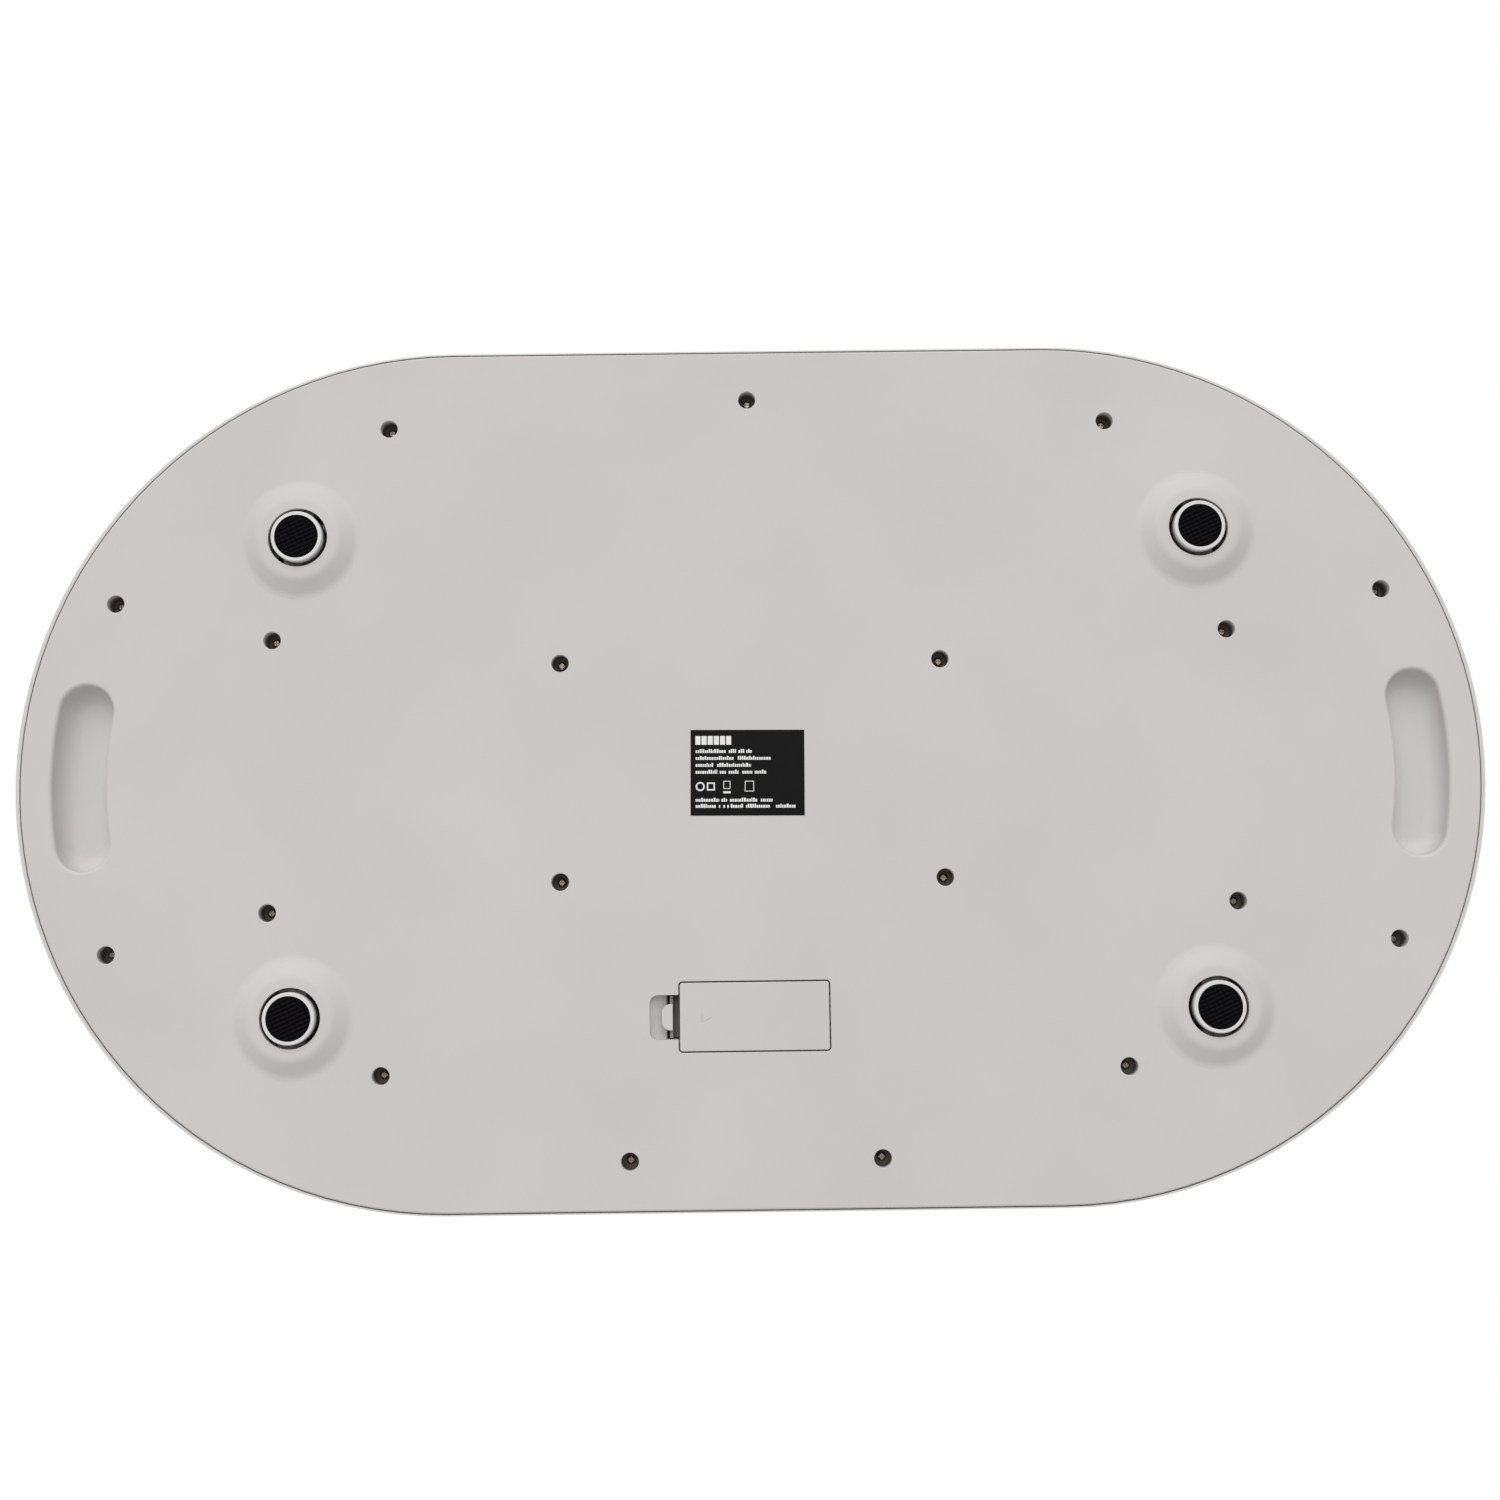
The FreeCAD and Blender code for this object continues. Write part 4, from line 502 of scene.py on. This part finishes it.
def on_label(u, v):
    """From the label's own top left corner, as read from below, to the scale's frame."""
    x, y = LABEL_LENGTH / 2 - u, LABEL_WIDTH / 2 - v
    turn_x = x * math.cos(LABEL_TURN) - y * math.sin(LABEL_TURN)
    turn_y = x * math.sin(LABEL_TURN) + y * math.cos(LABEL_TURN)
    return label_middle.x + turn_x, label_middle.y + turn_y


def block(work, u, v, wide, tall):
    """A printed block with its top left corner at u, v."""
    corners = [on_label(u + a * wide, v + b * tall) for a, b in ((0, 0), (1, 0), (1, 1), (0, 1))]
    prism(work, corners, label_face + PRINT_LOW, label_face + PRINT_HIGH)


def frame_mark(work, u, v, half, tall, line):
    """A small open frame, its corners at u -+ half and v -+ tall."""
    for du in (-half, half - line):
        block(work, u + du, v - tall, line, tall * 2.0)
    for dv in (-tall, tall - line):
        block(work, u - half + line, v + dv, (half - line) * 2.0, line)


def print_label(work):
    """Plain blocks stand for the words, and rings and frames for the marks."""
    dice = random.Random(7)
    for u in TOP_STARTS:
        block(work, u, TOP_FOOT - TOP_TALL, TOP_WIDE, TOP_TALL)
    for foot, words in LABEL_LINES:
        for start, length in words:
            u, end = start, start + length
            while u < end - LETTER_LEAST:
                wide = min(dice.uniform(LETTER_NARROW, LETTER_WIDE), end - u)
                tall = dice.choice(LETTER_HEIGHTS)
                block(work, u, foot - tall, wide, tall)
                u += wide + LETTER_GAP
    low, high = label_face + PRINT_LOW, label_face + PRINT_HIGH
    ring(work, *on_label(*RING_MIDDLE), RING_INNER, RING_OUTER, low, high)
    for mark in FRAME_MARKS:
        frame_mark(work, *mark)
    block(work, *BAR_UNDER_FRAME)


ink = Look("label_ink", (0.86, 0.86, 0.85), 0.4)
ink.mottle(0.8, (0.80, 0.80, 0.79), (0.90, 0.90, 0.89))
new_object("label_print", print_label, ink, "root")


# ---------------------------------------------------------------- display and keys

FIGURE_TALL, FIGURE_PITCH = 13.0, 12.0
# from the glass's middle to the decimal point and to the weight mark
POINT_X, POINT_Y = 6.0, -6.5
WEIGHT_X, WEIGHT_Y = 23.0, -5.0

glass_top = span("lcd_glass")[1].z
glass_middle = middle_of("lcd_glass")
# the figures' two faces, just above the glass
figures_low, figures_high = glass_top + 0.005, glass_top + 0.045


def bar(work, start, end, thick):
    """A figure's bar, with pointed ends, from one point to another."""
    along = (end - start).normalized() * thick / 2
    aside = Vector((-along.y, along.x))
    near_side = [start + along - aside, end - along - aside]
    far_side = [end - along + aside, start + along + aside]
    prism(work, [start, *near_side, end, *far_side], figures_low, figures_high)


def draw_zero(work, x, y):
    """A zero made of a display's outer six bars, with its middle at x, y."""
    half_x, half_y, thick, cut = (FIGURE_TALL * part for part in (0.26, 0.5, 0.11, 0.02))
    for level in (y - half_y, y + half_y):
        bar(work, Vector((x - half_x + cut, level)), Vector((x + half_x - cut, level)), thick)
    for upright in (x - half_x, x + half_x):
        for foot in (y - half_y, y):
            bar(work, Vector((upright, foot + cut)), Vector((upright, foot + half_y - cut)), thick)


def draw_display(work):
    """Three noughts, a point and a plain weight mark: a small trapezoid with a ring on top."""
    for step in (-1, 0, 1):
        draw_zero(work, glass_middle.x + FIGURE_PITCH * step, glass_middle.y)
    x, y = glass_middle.x + POINT_X, glass_middle.y + POINT_Y
    prism(work, rounded_box(x, y, 0.7, 0.7, 0.4), figures_low, figures_high)
    x, y = glass_middle.x + WEIGHT_X, glass_middle.y + WEIGHT_Y
    trapezoid = [(x - 2.6, y - 2.0), (x + 2.6, y - 2.0), (x + 1.8, y + 1.6), (x - 1.8, y + 1.6)]
    prism(work, trapezoid, figures_low, figures_high)
    ring(work, x, y + 2.3, 0.6, 1.05, figures_low, figures_high, steps=24)


def key_face(name):
    """The middle of a key's top, and the heights of the two faces of the print on it."""
    middle, top = middle_of(name), span(name)[1].z
    return middle.x, middle.y, top + PRINT_LOW, top + PRINT_HIGH


def power_mark(work):
    """An open ring with a bar through its gap."""
    x, y, low, high = key_face("key_power")
    ring(work, x, y, 1.25, 1.6, low, high, start=125.0, sweep=290.0)
    prism(work, rounded_box(x, y + 1.15, 0.17, 0.85, 0.1), low, high)


def unit_mark(work):
    """Two arrowheads that point away from each other."""
    x, y, low, high = key_face("key_unit")
    for way in (1, -1):
        base = x + way * 1.1
        prism(work, [(base + way * 1.3, y), (base, y + 1.25), (base, y - 1.25)], low, high)


def hold_mark(work):
    """Two upright bars."""
    x, y, low, high = key_face("key_hold")
    for way in (1, -1):
        prism(work, rounded_box(x + way * 0.75, y, 0.3, 1.35, 0.15), low, high)


def draw_border(work):
    """The dark border printed on the back of the window."""
    low, high = span("lcd_window")
    middle, half = (low + high) / 2, (high - low) / 2
    outer = rounded_box(0.0, middle.y, half.x - 2.2, half.y - 2.2, 0.6)
    inner = rounded_box(0.0, middle.y, half.x - 5.0, half.y - 4.2, 1.2)
    band(work, inner, outer, low.z - 0.06, low.z - 0.01)


dark_segments = Look("lcd_segments", (0.020, 0.024, 0.022), 0.3)
dark_segments.rough(dark_segments.noise(2.0), 0.25, 0.4)
paint = Look("key_print", (0.82, 0.83, 0.84), 0.45)
paint.mottle(0.9, (0.76, 0.77, 0.78), (0.86, 0.87, 0.88))
border_paint = moulded("window_border", (0.030, 0.032, 0.036), 0.25, 0.5, 0.004)
new_object("lcd_figures", draw_display, dark_segments, "root")
new_object("power_mark", power_mark, paint, "power_key")
new_object("unit_mark", unit_mark, paint, "unit_key")
new_object("hold_mark", hold_mark, paint, "hold_key")
new_object("window_border", draw_border, border_paint, "root")


# ---------------------------------------------------------------- stage, lights and camera

FLOOR_REACH, FLOOR_Z = 6.0, -0.0002
# the tray's outline is a stadium; its ends are round these points on the X axis
TRAY_END_X = 113.2


def floor_look():
    """A pale floor with a painted shadow under the tray, which is clear from below, so that it never hides
    the underside, and far away.
    """
    look = Look("floor_pale", (0.86, 0.86, 0.855), 0.7)
    look.mottle(400.0, (0.85, 0.85, 0.845), (0.87, 0.87, 0.865), detail=2.0)
    # painted shadow: a dark patch on the floor under the tray, where little light reaches
    under_tray_shadow = look.near_line(TRAY_END_X, 0.0, 142.0, soft_mm=26.0, mirrored=True, joined=True)
    look.mix_in(under_tray_shadow, (0.10, 0.10, 0.10))
    far = look.math("SUBTRACT", 1.0, look.near_line(0.0, 0.0, 420.0, soft_mm=900.0))
    from_below = look.node("ShaderNodeNewGeometry").outputs["Backfacing"]
    choice = look.node("ShaderNodeMixShader")
    look.link(look.math("MAXIMUM", from_below, far), choice.inputs[0])
    look.link(look.shader.outputs[0], choice.inputs[1])
    look.link(look.node("ShaderNodeBsdfTransparent").outputs[0], choice.inputs[2])
    look.link(choice.outputs[0], look.tree.nodes["Material Output"].inputs["Surface"])
    return look


floor_mesh = bpy.data.meshes.new("floor")
floor_corners = [(FLOOR_REACH * a, FLOOR_REACH * b, 0) for a, b in ((-1, -1), (1, -1), (1, 1), (-1, 1))]
floor_mesh.from_pydata(floor_corners, [], [(0, 1, 2, 3)])
floor = bpy.data.objects.new("floor", floor_mesh)
floor.location.z = FLOOR_Z
scene.collection.objects.link(floor)
dress(floor, floor_look())
for ray in ("diffuse", "glossy", "transmission", "shadow", "volume_scatter"):
    setattr(floor, f"visible_{ray}", False)


def make_world():
    """A soft even light from all sides, and plain white where the camera looks past the scale."""
    world = bpy.data.worlds.new("studio")
    scene.world = world
    world.use_nodes = True
    sky = world.node_tree
    seen = sky.nodes["Background"]
    seen.inputs["Color"].default_value = (1.0, 1.0, 1.0, 1.0)
    seen.inputs["Strength"].default_value = 1.0
    glow = sky.nodes.new("ShaderNodeBackground")
    glow.inputs["Color"].default_value = (1.0, 0.995, 0.99, 1.0)
    glow.inputs["Strength"].default_value = 0.535
    path = sky.nodes.new("ShaderNodeLightPath")
    either = sky.nodes.new("ShaderNodeMixShader")
    sky.links.new(path.outputs["Is Camera Ray"], either.inputs[0])
    sky.links.new(glow.outputs[0], either.inputs[1])
    sky.links.new(seen.outputs[0], either.inputs[2])
    sky.links.new(either.outputs[0], sky.nodes["World Output"].inputs["Surface"])


def lamp(name, kind, power, direction, place=(0.0, 0.0, 0.0)):
    """A lamp that shines in this direction, with its settings for the caller to complete."""
    light = bpy.data.lights.new(name, kind)
    light.energy = power
    thing = bpy.data.objects.new(name, light)
    thing.location = place
    thing.rotation_mode = "QUATERNION"
    thing.rotation_quaternion = Vector(direction).to_track_quat("-Z", "Y")
    scene.collection.objects.link(thing)
    return light


def soft_light(name, place, side_length, power):
    """A square lamp that is turned to the middle of the scale."""
    aim = Vector((0.0, 0.0, 0.03))
    light = lamp(name, "AREA", power, aim - Vector(place), place)
    light.shape = "SQUARE"
    light.size = side_length


make_world()
soft_light("key_above", (-1.1, -1.3, 1.7), 1.2, 30.0)
soft_light("rim_above", (1.4, 1.2, 1.3), 1.0, 10.0)
# the light that falls on the underside, wide and soft, from the back and a little from the right
key_below = lamp("key_below", "SUN", 1.52, (-0.121, -0.623, 0.772))
key_below.angle = math.radians(60.0)

# the camera looks up at the underside, as the photograph does
CAMERA_PLACE = Vector((3.0, -64.2, -634.1)) * MM
RIGHT = Vector((-0.999913, -0.012911, -0.002524))
DOWN = Vector((0.012550, -0.993728, 0.111120))
FORWARD = Vector((-0.003943, 0.111079, 0.993804))

camera = bpy.data.objects.new("camera", bpy.data.cameras.new("camera"))
scene.collection.objects.link(camera)
camera.data.sensor_width = 36.0
camera.data.lens = 41.28
camera.data.clip_start = 0.01
turn = Matrix((RIGHT, -DOWN, -FORWARD)).transposed().to_4x4()
camera.matrix_world = Matrix.Translation(CAMERA_PLACE) @ turn
scene.camera = camera

scene.view_settings.view_transform = "Standard"
scene.view_settings.look = "None"
